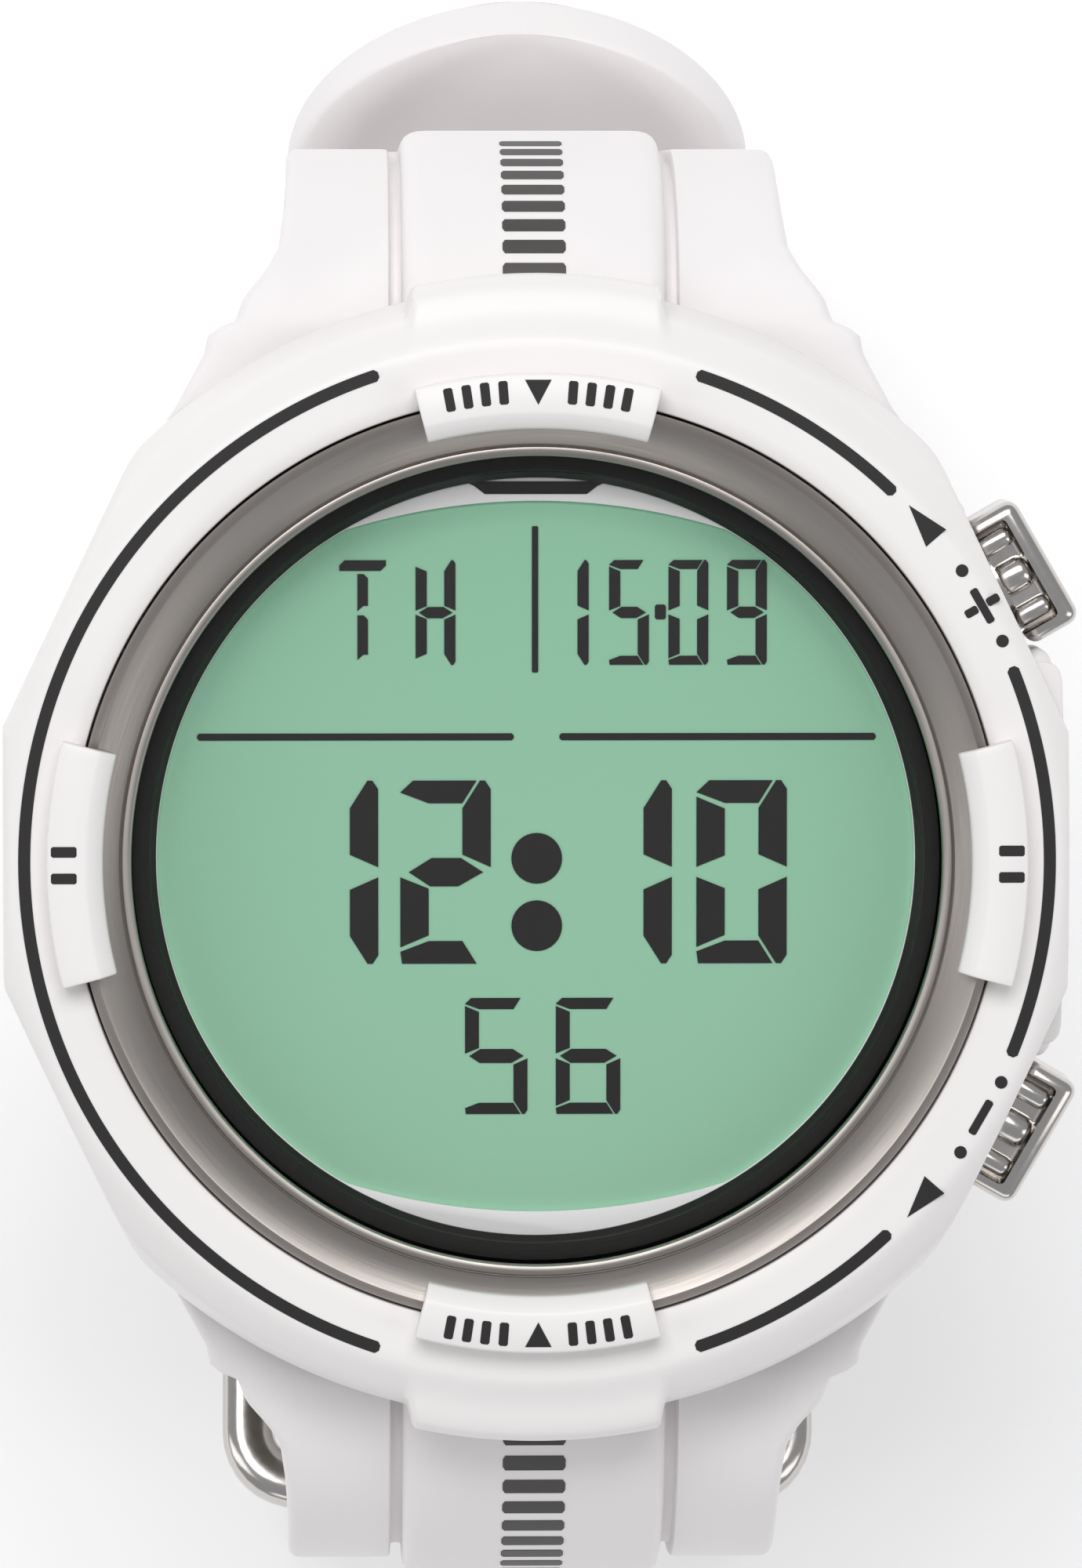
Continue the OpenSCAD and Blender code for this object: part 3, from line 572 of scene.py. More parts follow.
def side_limit(angle, z):
    """How far the faceted sides stand from the centre, at each angle in radians and each height."""
    sizes = bpy.context.scene.watch_sizes
    flare = np.clip(12.6 - z, 0.0, 5.0) * 0.05
    limit = np.full_like(angle, 99.0)
    planes = [(0.0, sizes.bezel_half), (sizes.facet_angle, sizes.facet_r), (-sizes.facet_angle, sizes.facet_r)]
    for direction, distance in planes:
        for half in (0.0, math.pi):
            facing = np.cos(angle - math.radians(direction) - half)
            here = np.where(facing > 0.2, (distance - 0.22 + flare) / np.maximum(facing, 0.2), 99.0)
            limit = np.minimum(limit, here)
    return limit


# Matching points of the two profiles, from the bore over the face and down the outside
BEZEL_PROFILE = [
    (21.8, 9.8), (21.8, 11.8), (21.8, 13.72), (21.84, 13.84), (21.94, 13.9), (22.6, 13.9), (23.4, 13.9),
    (24.0, 13.9), (24.33, 13.88), (24.52, 13.82), (24.75, 13.68), (25.0, 13.5), (25.25, 13.29), (25.5, 13.07),
    (25.72, 12.86), (25.9, 12.66), (26.03, 12.44), (26.13, 12.15), (26.28, 11.5), (26.45, 10.6), (26.62, 9.6),
    (26.78, 8.7), (26.85, 8.25), (26.83, 8.08), (26.72, 8.0), (26.3, 8.0), (25.9, 8.0), (25.9, 8.8), (25.9, 9.8),
]
HOOD_PROFILE = [
    (21.8, 9.8), (21.8, 11.8), (21.8, 13.72), (21.84, 13.84), (21.94, 13.9), (22.6, 13.9), (23.4, 13.9),
    (24.0, 13.9), (24.33, 13.88), (24.52, 13.82), (24.75, 13.7), (25.0, 13.55), (25.3, 13.37), (25.6, 13.22),
    (25.85, 13.12), (26.1, 13.05), (26.4, 12.97), (26.7, 12.87), (27.0, 12.72), (27.25, 12.5), (27.42, 12.15),
    (27.5, 11.6), (27.52, 11.0), (27.5, 10.6), (27.4, 10.4), (27.0, 10.3), (26.5, 10.3), (25.9, 9.9), (25.9, 9.8),
]
# The hood's half-width, how many profile points lie on the outer face, and a tab's span in degrees
HOOD_HALF = 6.05
BEZEL_OUTER = 24
TAB_SPAN = 29.2


def bezel_skin():
    """The white ring: spun, then drawn in to the facets and out over the strap at 12 and 6 o'clock."""
    obj = lathe("bezel_cover_shell", BEZEL_PROFILE, steps=900)
    at = points_of(obj)
    angle = np.arctan2(at[:, 1], at[:, 0])
    radius = np.hypot(at[:, 0], at[:, 1])
    height = at[:, 2] - CASE_Z
    base = np.array(BEZEL_PROFILE)
    hood = np.array(HOOD_PROFILE)
    away = (radius[:, None] - base[None, :, 0]) ** 2 + (height[:, None] - base[None, :, 1]) ** 2
    index = np.argmin(away, axis=1)
    across = np.abs(hood[index, 0] * np.cos(angle))
    in_hood = ease((HOOD_HALF + 0.3 - across) / 0.6)
    radius = radius + (hood[index, 0] - base[index, 0]) * in_hood
    height = height + (hood[index, 1] - base[index, 1]) * in_hood
    outer = index < BEZEL_OUTER
    limit = side_limit(angle, height)
    radius = np.where(outer, soft_min(radius, limit + 0.12, 0.35), np.minimum(radius, limit - 0.85))
    place(obj, np.stack([radius * np.cos(angle), radius * np.sin(angle), height + CASE_Z], 1))
    return obj


def tab(direction):
    """One raised tab, with its front edge chamfered down to the steel ring."""
    profile = [
        (22.0, 13.4), (22.9, 13.4), (22.9, 15.25), (22.88, 15.34), (22.8, 15.4), (21.15, 15.4), (21.0, 15.36),
        (20.42, 14.86), (20.33, 14.76), (20.3, 14.64), (20.3, 13.92), (21.2, 14.46), (22.0, 14.5),
    ]
    obj = lathe(f"tab_{direction}", profile, steps=28, start=direction + TAB_SPAN / 2, turn=TAB_SPAN)
    return rounded(obj, 0.13, 3, 40)


class WATCH_OT_bezel_cover(bpy.types.Operator):
    """Builds the white bezel cover with its four tabs and two hoods"""

    bl_idname = "watch.bezel_cover"
    bl_label = "Bezel cover"

    def execute(self, context):
        parts = [bezel_skin()] + [tab(direction) for direction in (0, 90, 180, 270)]
        obj = join("bezel_cover_look", parts)
        finish(obj, MATERIALS["white_bezel"], "watch_case", ["bezel_cover"], 40)
        return {"FINISHED"}


def arc_points(radius, start, end, steps):
    """Points on an arc about the middle of the case, in degrees."""
    angles = [math.radians(start + (end - start) * i / max(steps, 1)) for i in range(steps + 1)]
    return [(radius * math.cos(a), radius * math.sin(a)) for a in angles]


def stripe_outline(start, end):
    """A stripe along the bezel with softly rounded ends."""
    sizes = bpy.context.scene.watch_sizes
    inner, outer = sizes.stripe_r, sizes.stripe_r + sizes.stripe_w
    corner = 0.16
    turn = math.degrees(corner / inner)
    steps = max(8, int(abs(end - start) * 1.2))
    return (
        arc_points(outer, start + turn, end - turn, steps)
        + arc_points(outer - corner, end, end, 0)
        + arc_points(inner + corner, end, end, 0)
        + arc_points(inner, end - turn, start + turn, steps)
        + arc_points(inner + corner, start, start, 0)
        + arc_points(outer - corner, start, start, 0)
    )


def at_angle(points, angle, radius):
    """Points given along the ring and outwards, put at an angle and radius; +X runs clockwise."""
    a = math.radians(angle)
    out, along = (math.cos(a), math.sin(a)), (math.sin(a), -math.cos(a))
    return [
        (out[0] * (radius + y) + along[0] * x, out[1] * (radius + y) + along[1] * x) for x, y in points
    ]


def disc_points(x, y, radius, steps):
    """A circle as an outline."""
    turns = [2 * math.pi * i / steps for i in range(steps)]
    return [(x + radius * math.cos(a), y + radius * math.sin(a)) for a in turns]


def box_points(x0, y0, x1, y1, c=0.08):
    """A rectangle with cut corners."""
    return [
        (x0 + c, y0), (x1 - c, y0), (x1, y0 + c), (x1, y1 - c),
        (x1 - c, y1), (x0 + c, y1), (x0, y1 - c), (x0, y0 + c),
    ]


class WATCH_OT_bezel_marks(bpy.types.Operator):
    """Builds the black stripes, arrows, symbols and bars on the bezel"""

    bl_idname = "watch.bezel_marks"
    bl_label = "Bezel marks"

    def execute(self, context):
        sizes = context.scene.watch_sizes
        face = CASE_Z + FACE_Z
        shapes = [stripe_outline(a, b) for a, b in ((108, 252), (46, 72), (-22.4, 22.4), (-72, -46.5))]
        middle = sizes.stripe_r + 0.3
        for side in (1, -1):
            arrow = [(0.85 * side, 0.62), (0.85 * side, -0.62), (-1.15 * side, 0.05)]
            arrow = arrow if side > 0 else arrow[::-1]
            shapes.append(at_angle(arrow, 41.2 * side, middle))
            for dot in (-1.9, 1.9):
                shapes.append(at_angle(disc_points(dot, 0.0, 0.3, 16), sizes.button_angle * side, middle))
            shapes.append(at_angle(box_points(-0.9, -0.2, 0.9, 0.2), sizes.button_angle * side, middle))
        upright = [box_points(-0.2, 0.25, 0.2, 0.9), box_points(-0.2, -0.9, 0.2, -0.25)]
        shapes += [at_angle(u, sizes.button_angle, middle) for u in upright]
        marks = [plate("mark", s, face - 0.12, face + 0.025) for s in shapes]
        top = CASE_Z + TAB_Z
        for direction in (0, 180):
            for y in (-0.62, 0.62):
                bar = at_angle(box_points(y - 0.25, -0.6, y + 0.25, 0.6), direction, 22.1)
                marks.append(plate("mark", bar, top - 0.1, top + 0.02))
        for direction in (90, 270):
            tip = at_angle([(-0.62, 0.55), (0.62, 0.55), (0.0, -0.62)], direction, 22.05)
            marks.append(plate("mark", tip, top - 0.1, top + 0.02))
            for side in (-1, 1):
                for i in range(4):
                    turn = side * (4.2 + 2.2 * i)
                    bar = at_angle(box_points(-0.22, -0.55, 0.22, 0.55), direction + turn, 22.05)
                    marks.append(plate("mark", bar, top - 0.1, top + 0.02))
        obj = join("bezel_marks_look", marks)
        finish(obj, MATERIALS["black_print"], "watch_case", ["bezel_marks"])
        return {"FINISHED"}


class WATCH_OT_steel_ring(bpy.types.Operator):
    """Builds the brushed steel ring with its outer bevel, groove and lip"""

    bl_idname = "watch.steel_ring"
    bl_label = "Steel ring"

    def execute(self, context):
        profile = [
            (21.7, 9.8), (21.7, 13.9), (21.68, 14.0), (21.62, 14.08), (21.3, 14.38), (21.24, 14.42),
            (21.16, 14.4), (20.3, 13.92), (19.62, 13.5), (19.56, 13.44), (19.54, 13.36), (19.5, 13.33),
            (19.46, 13.36), (19.42, 13.42), (19.36, 13.44), (19.1, 13.42), (19.04, 13.39), (19.0, 13.3),
            (19.0, 12.62), (19.58, 12.62), (19.58, 10.65), (20.98, 10.65), (20.98, 9.8),
        ]
        obj = lathe("bezel_ring_look", profile, steps=360)
        finish(obj, MATERIALS["brushed_ring"], "watch_case", ["bezel_ring"], 25)
        return {"FINISHED"}


# ---------------------------------------------------------------- display

# The display's window: its radius, its half-height, and the radius of its flat arcs
VIEW_R = 17.86
VIEW_HALF = 16.8
ARC_R = 30.0


def view_outline(inset=0.0, steps=96):
    """The window of the display: a circle cut by a flat arc above and below."""
    points = []
    for i in range(steps * 2):
        a = 2 * math.pi * i / (steps * 2)
        c, s = math.cos(a), math.sin(a)
        low, high = 0.0, VIEW_R - inset
        for _ in range(30):
            r = (low + high) / 2
            x, y = r * c, abs(r * s)
            inside = math.hypot(x, y + ARC_R - VIEW_HALF) <= ARC_R - inset
            low, high = (r, high) if inside else (low, r)
        points.append((low * c, low * s))
    return points


def seven(x, y, w, h, s, lit):
    """One seven-segment figure with its lower left corner at x, y and upright strokes of s."""
    mid, half = h / 2, 0.5 * s
    bar = 0.8 * s
    shapes = {
        "a": [(0, h - 0.42 * s), (0.45 * s, h), (w - 0.5 * s, h), (w - s, h - bar), (s, h - bar)],
        "b": [(w - s, h - 0.98 * s), (w - 0.38 * s, h), (w - 0.2 * s, h), (w, h - 0.3 * s),
              (w, mid + 0.18 * s), (w - s, mid + 0.62 * s)],
        "c": [(w - s, mid - 0.62 * s), (w, mid - 0.18 * s), (w, 0.3 * s), (w - 0.2 * s, 0),
              (w - 0.38 * s, 0), (w - s, 0.98 * s)],
        "d": [(0.06 * s, 0), (0, 0.42 * s), (s, bar), (w - s, bar), (w - 0.5 * s, 0)],
        "e": [(0, 0.58 * s), (0, mid - 0.18 * s), (s, mid - 0.58 * s), (s, s)],
        "f": [(0, mid + 0.18 * s), (0, h - 0.58 * s), (s, h - s), (s, mid + 0.58 * s)],
        "g": [(0.3 * s, mid), (1.1 * s, mid + half), (w - 1.05 * s, mid + half), (w - 0.27 * s, mid),
              (w - 1.15 * s, mid - half), (1.05 * s, mid - half)],
    }
    return [[(x + px, y + py) for px, py in shapes[k]] for k in lit]


LIT = {"0": "abcdef", "1": "bc", "2": "abged", "5": "afgcd", "6": "afgcde", "9": "abcdfg", "H": "fbgec"}


def display_shapes():
    """Outlines of every lit segment, in millimetres from the middle of the display."""
    shapes = []
    for x, digit in ((-5.66, "H"), (0.62, "1"), (3.46, "5"), (6.26, "0"), (9.02, "9")):
        shapes += seven(x, 9.06, 1.88, 4.94, 0.53, LIT[digit])
    # The T of the weekday: its bar, then its stem in two strokes
    shapes.append([(-9.25, 13.5), (-9.25, 13.75), (-9.0, 14.0), (-7.05, 14.0), (-7.05, 13.75), (-7.3, 13.5)])
    for low, high in ((11.6, 13.35), (9.3, 11.4)):
        shapes.append([
            (-8.4, low), (-8.12, low + 0.25), (-7.9, low + 0.25), (-7.9, high - 0.2), (-8.1, high), (-8.4, high)
        ])
    shapes.append(box_points(5.62, 11.2, 6.14, 11.9, 0.08))
    shapes.append(box_points(-0.18, 8.7, 0.12, 15.6, 0.05))
    for x0, x1 in ((-15.96, -1.03), (1.12, 16.05)):
        shapes.append(box_points(x0, 5.5, x1, 5.83, 0.1))
    for x, digit in ((-11.7, "1"), (-6.39, "2"), (2.16, "1"), (7.59, "0")):
        shapes += seven(x, -5.06, 4.27, 8.66, 1.34, LIT[digit])
    for y in (-0.08, -3.27):
        shapes.append(disc_points(0.05, y, 1.2, 32))
    shapes += seven(-3.34, -12.19, 2.95, 5.5, 0.66, LIT["5"])
    shapes += seven(0.95, -12.19, 3.05, 5.5, 0.66, LIT["6"])
    return shapes


class WATCH_OT_display(bpy.types.Operator):
    """Builds the chapter ring, mask, display panel, segments and lens"""

    bl_idname = "watch.display"
    bl_label = "Display"

    def execute(self, context):
        profile = [
            (17.9, 10.02), (17.9, 10.18), (17.94, 10.24), (18.18, 10.42), (18.22, 10.5), (18.24, 10.74),
            (18.3, 10.8), (18.84, 10.82), (18.9, 10.76), (18.9, 10.02),
        ]
        ring = lathe("chapter_ring_look", profile)
        notch = [(-3.4, 17.72), (3.4, 17.72), (2.9, 17.5), (2.4, 17.12), (-2.4, 17.12), (-2.9, 17.5)][::-1]
        ring = join("chapter_ring_look", [ring, plate("notch", notch, CASE_Z + 9.99, CASE_Z + 10.06)])
        finish(ring, MATERIALS["black_ring"], "watch_case", ["chapter_ring"], 30)

        rim = [(18.36, 10.86), (18.36, 10.9), (19.5, 10.9), (19.5, 12.57), (19.56, 12.57), (19.56, 10.86)]
        gasket = lathe("lens_gasket_look", rim)
        finish(gasket, MATERIALS["black_ring"], "watch_case", (), 30)

        disc = arc_points(18.88, 0, 360 - 360 / 256, 255)
        mask = plate("display_mask_look", disc, CASE_Z + 9.72, CASE_Z + MASK_TOP)
        window = plate("window", view_outline(), CASE_Z + 9, CASE_Z + 11)
        cut_away(mask, window)
        rounded(mask, 0.05, 2, 50)
        finish(mask, MATERIALS["mask_plate"], "watch_case", ["display_mask"], 30)

        panel = plate("lcd_panel_look", view_outline(-0.2), CASE_Z + 8.4, CASE_Z + PANEL_Z)
        finish(panel, MATERIALS["lcd_green"], "watch_case", ["lcd_panel"], 30)

        glass = CASE_Z + PANEL_Z
        segments = join("lcd_segments_look", [plate("segment", s, glass, glass + 0.05) for s in display_shapes()])
        finish(segments, MATERIALS["black_print"], "watch_case", ["lcd_segments"])

        lens = rod("lens_look", (0, 0, CASE_Z + 10.92), (0, 0, CASE_Z + 12.58), 19.48, 256)
        rounded(lens, 0.2, 3, 40)
        finish(lens, MATERIALS["lens_glass"], "watch_case", ["lens"], 30)
        return {"FINISHED"}


# ---------------------------------------------------------------- case and buttons


def case_outline(inset, steps=360):
    """The case wall seen from above: a circle trimmed by the six side facets."""
    angle = np.radians(np.arange(steps) * 360.0 / steps)
    limit = side_limit(angle, np.full_like(angle, 12.6)) - inset
    radius = soft_min(np.full_like(angle, 25.5), limit, 0.3)
    x, y = radius * np.cos(angle), radius * np.sin(angle)
    return np.stack([x, y], 1)


# Where the case's ears stand across the strap, and the radius of a pin's bore
EAR_X = 9.7
PIN_BORE = 0.95


def pin_bar(name, end, x0, x1, radius, vertices):
    """A round bar on a lug pin's line, at 12 o'clock with end 1 and at 6 o'clock with end -1."""
    return rod(name, (x0, end * PIN_Y, CASE_Z + PIN_Z), (x1, end * PIN_Y, CASE_Z + PIN_Z), radius, vertices)


class WATCH_OT_case_body(bpy.types.Operator):
    """Builds the white case wall with its lugs, stepped guard and button wells"""

    bl_idname = "watch.case_body"
    bl_label = "Case body"

    def execute(self, context):
        sizes = context.scene.watch_sizes
        middle = CASE_Z + BUTTON_Z
        wall = plate("case_wall", case_outline(1.1), CASE_Z + 1.42, CASE_Z + 8.0)
        rounded(wall, 0.35, 3, 60)
        bore = rod("bore", (0, 0, CASE_Z - 1), (0, 0, CASE_Z + 9), 18.4, 192)
        cut_away(wall, bore)
        for side in (-1, 1):
            pocket = block("pocket", (0, side * 25.0, CASE_Z + 3), (31.9, 10.0, 9.6))
            cut_away(wall, pocket)
        parts = [wall]
        shelf = [(18.4, 7.9), (24.0, 7.9), (24.0, 9.68), (20.9, 9.68), (20.9, 10.6), (18.4, 10.6)]
        parts.append(lathe("case_shelf", shelf, steps=180))
        guard = [
            (22.2, -9.1), (24.1, -9.1), (24.6, -9.0), (24.88, -8.7), (25.0, -8.25), (25.1, -5.3), (25.04, -5.0),
            (24.86, -4.86), (25.0, -4.6), (25.2, -4.35),
        ]
        guard += [(x, -y) for x, y in guard[::-1]]
        ledge = plate("guard", guard, CASE_Z + 3.0, CASE_Z + 7.95)
        rounded(ledge, 0.22, 3, 25)
        parts.append(ledge)
        for side in (-1, 1):
            for along in (-1, 1):
                collar = block("collar", (23.8, 4.12 * along, middle), (4.0, 1.34, 5.2))
                rounded(collar, 0.6, 5)
                parts.append(turned(collar, sizes.button_angle * side))
            frame_in = block("well_frame", (22.9, 0, middle), (2.0, 8.0, 5.2))
            rounded(frame_in, 0.3, 3)
            cut_away(frame_in, rod("well", (20, 0, middle), (26, 0, middle), 2.65, 64))
            parts.append(turned(frame_in, sizes.button_angle * side))
            clear = rod("clear", (15, 0, middle), (27, 0, middle), 2.65, 64)
            cut_away(wall, turned(clear, sizes.button_angle * side))
        for end in (-1, 1):
            for side in (-1, 1):
                ear = pin_bar("ear", end, side * 8.3, side * 11.1, 1.52, 48)
                rounded(ear, 0.3, 3)
                root = block("ear_root", (side * EAR_X, end * 21.0, CASE_Z + PIN_Z), (2.75, 3.4, 3.0))
                rounded(root, 0.2, 2)
                cut_away(ear, pin_bar("bore", end, side * 6, side * 14, PIN_BORE, 32))
                parts += [ear, root]
        obj = join("case_body_look", parts)
        finish(obj, MATERIALS["white_case"], "watch_case", ["case_body"], 40)
        return {"FINISHED"}


def button_cap(name, side):
    """A steel push button: a rounded block with capsule flutes in a pocket above and below."""
    sizes = bpy.context.scene.watch_sizes
    middle = CASE_Z + BUTTON_Z
    cap = block("cap", (26.68, 0, middle), (2.78, 6.6, 4.8))
    rounded(cap, 0.62, 5)
    parts = [cap]
    for end in (-1, 1):
        pocket = block("pocket", (25.6, 0, middle + end * 2.4), (3.2, 5.3, 1.5))
        rounded(pocket, 0.25, 3)
        cut_away(cap, pocket)
        for y, radius, far in ((-1.85, 0.52, 27.1), (0.0, 0.85, 27.15), (1.85, 0.52, 27.1)):
            height = middle + end * (2.36 - radius)
            flute = rod("flute", (25.3, y, height), (far, y, height), radius, 32)
            rounded(flute, radius * 0.6, 4)
            parts.append(flute)
    for y in (-1.6, 0.0, 1.6):
        groove = rod("groove", (28.32, y, middle - 1.6), (28.32, y, middle + 1.6), 0.5, 32)
        cut_away(cap, groove)
    parts.append(rod("neck", (24.2, 0, middle), (25.6, 0, middle), 2.3))
    parts.append(rod("stem", (17.5, 0, middle), (24.3, 0, middle), 1.38, 32))
    obj = join(name, parts)
    turned(obj, sizes.button_angle * side)
    return obj


class WATCH_OT_buttons(bpy.types.Operator):
    """Builds the two fluted steel push buttons"""

    bl_idname = "watch.buttons"
    bl_label = "Push buttons"

    def execute(self, context):
        for label, side in (("select", 1), ("escape", -1)):
            obj = button_cap(f"{label}_button_look", side)
            finish(obj, MATERIALS["polished_steel"], f"{label}_button", [f"{label}_button"], 35)
        return {"FINISHED"}


# ---------------------------------------------------------------- strap

# The loop's two lower corners: their centres, and the radius of the strap's middle line in each layer
UPPER_REACH, LOWER_REACH = 32.1, 34.2
UPPER_IN, UPPER_OUT, LOWER_IN, LOWER_OUT = 19.5, 22.2, 17.1, 19.8
UPPER_C, LOWER_C = (UPPER_REACH - UPPER_IN, 24.25), (LOWER_OUT - LOWER_REACH, 21.85)
OUTER_Z, INNER_Z = 2.05, 4.75
# The rib's height, half the strap's thickness, and where the rib has faded out
RIB_H, HALF_T, RIB_LOW_Z = 0.9, 1.3, 22.0
# The shoulder's ellipse, above the case back, and the tail's slope in degrees, length and rounded tip
SHOULDER_Z, SHOULDER_Y, SIDE_Z = 5.4, 25.2, -7.5
TAIL_SLOPE, TAIL_L, TIP_L = 41.0, 17.2, 10.3


def shoulder_path(side, reach, steps=40):
    """The middle line from under the bezel to the side of the wrist, as point and outward direction."""
    rows = [((side * y, CASE_Z + SHOULDER_Z), (0.0, 1.0)) for y in np.linspace(20.5, SHOULDER_Y, 14)[:-1]]
    wide, high = reach - SHOULDER_Y, SHOULDER_Z - SIDE_Z
    for i in range(steps + 1):
        a = math.pi / 2 * i / steps
        normal = (side * math.sin(a) * high, math.cos(a) * wide)
        length = math.hypot(*normal)
        at = (side * (SHOULDER_Y + wide * math.sin(a)), CASE_Z + SIDE_Z + high * math.cos(a))
        rows.append((at, (normal[0] / length, normal[1] / length)))
    return rows


def arc_path(centre, radius, start, end, steps):
    """The middle line on an arc; angles run from straight down towards +Y."""
    rows = []
    for i in range(steps + 1):
        a = math.radians(start + (end - start) * i / steps)
        out = (math.sin(a), -math.cos(a))
        rows.append(((centre[0] + radius * out[0], centre[1] + radius * out[1]), out))
    return rows


def straight_path(a, b, out, steps):
    """The middle line on a straight stretch, without its ends."""
    return [
        ((a[0] + (b[0] - a[0]) * i / steps, a[1] + (b[1] - a[1]) * i / steps), out) for i in range(1, steps)
    ]


def spread(x, table):
    """Straight interpolation in a table of pairs."""
    keys, values = zip(*table)
    return float(np.interp(x, keys, values))


# The strap's half-width and the rib's share of its height, by distance from the case's middle
SHOULDER_WIDTHS = [
    (20.0, 17.75), (20.35, 17.55), (21.2, 16.95), (22.4, 16.3), (23.65, 15.62), (24.35, 15.5), (24.65, 15.4),
    (24.85, 15.0), (25.0, 14.35), (25.3, 14.1), (26.1, 13.78), (27.2, 12.7), (28.1, 12.12), (29.6, 11.9),
    (31.0, 11.8),
]
RIB_RISE = [(24.2, 0.0), (25.4, 1.0), (60.0, 1.0)]


def section(half, inner, outer, rib, bulge=0.0, edge=0.55, groove=0.0):
    """The strap's cross-section as a loop of (across, outwards) pairs, from the middle of its inner face."""
    k = min(1.0, half / 11.8)
    side = 6.25 * k
    flat, turns = half - edge, (0.39, 0.79, 1.18, 1.571)
    right = [(half * f, inner) for f in (0.0, 0.15, 0.3, 0.45, 0.58, 0.7, 0.78, 0.86)] + [(flat, inner)]
    right += [(flat + edge * math.sin(a), inner + edge - edge * math.cos(a)) for a in turns]
    right += [(half, (inner + outer) / 2)]
    right += [(flat + edge * math.cos(a), outer - edge + edge * math.sin(a)) for a in (0.0,) + turns]
    foot = outer - groove
    crest = outer + rib
    right += [
        (half - (half - side) * 0.3, outer + bulge * 0.6), (half - (half - side) * 0.55, outer + bulge),
        (side + 0.85 * k, outer + bulge * 0.4), (side + 0.66 * k, outer - 0.04 * groove),
        (side + 0.58 * k, outer - 0.2 * groove), (side + 0.54 * k, foot + 0.06 * groove), (side + 0.4 * k, foot),
        (side + 0.16 * k, foot), (side + 0.04 * k, foot + 0.08 * groove), (side, crest - 0.95 * rib),
        (side - 0.06 * k, crest - 0.62 * rib), (side - 0.22 * k, crest - 0.34 * rib),
        (side - 0.5 * k, crest - 0.13 * rib), (side - 0.85 * k, crest - 0.03 * rib), (side - 1.25 * k, crest),
        (3.6 * k, crest), (1.8 * k, crest), (0.0, crest),
    ]
    left = [(-x, z) for x, z in right[::-1]]
    return right + left[1:]


def strap_skin(name, path, shape):
    """A closed strap half: the section that shape gives at each place, carried along the path."""
    rows = [[(x, y + ny * off, z + nz * off) for x, off in shape(y, z)] for (y, z), (ny, nz) in path]
    return sleeve(name, rows)


def near_lug(y):
    """How far the strap reaches inwards and outwards of its middle line near the lug pin."""
    inner = spread(abs(y), [(20.5, -1.6), (20.9, -2.6), (21.6, -3.1), (23.6, -3.1), (24.6, -2.5), (26.0, -1.3)])
    outer = spread(abs(y), [(20.5, 0.7), (20.9, 1.1), (21.4, 1.3)])
    return inner, outer


def shoulder_shape(y, z, half):
    """The section near the case, where the strap flares and the wings dip beside the rib."""
    inner, outer = near_lug(y)
    flare = spread(abs(y), SHOULDER_WIDTHS) if z > CASE_Z - 6 else half
    rib = RIB_H * spread(abs(y), RIB_RISE)
    dip = -0.35 * float(ease((abs(y) - 24.9) / 1.2) * ease((29.5 - abs(y)) / 3.0))
    return section(flare, inner, outer, rib, dip, groove=0.7 * spread(abs(y), RIB_RISE))


def side_shape(y, z, half, thick):
    """The section down the side of the wrist, where the rib fades out towards the underside."""
    if z >= CASE_Z - 6:
        return shoulder_shape(y, z, half)
    fade = float(ease((z - RIB_LOW_Z) / 10.0))
    return section(half, -thick, thick, RIB_H * fade, groove=0.7 * fade)


def bend_at_lug(obj):
    """Bakes the strap piece's placement into its mesh."""
    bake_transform(obj)


def lug_gaps(obj, side):
    """Cuts the room for the case's ears and the bore for the pin."""
    for half in (-1, 1):
        cut_away(obj, block("gap", (half * EAR_X, side * 22.25, CASE_Z + 1.9), (3.4, 4.7, 8.6)))
        cut_away(obj, pin_bar("pin_end", side, half * 15.25, half * 18, PIN_BORE, 32))


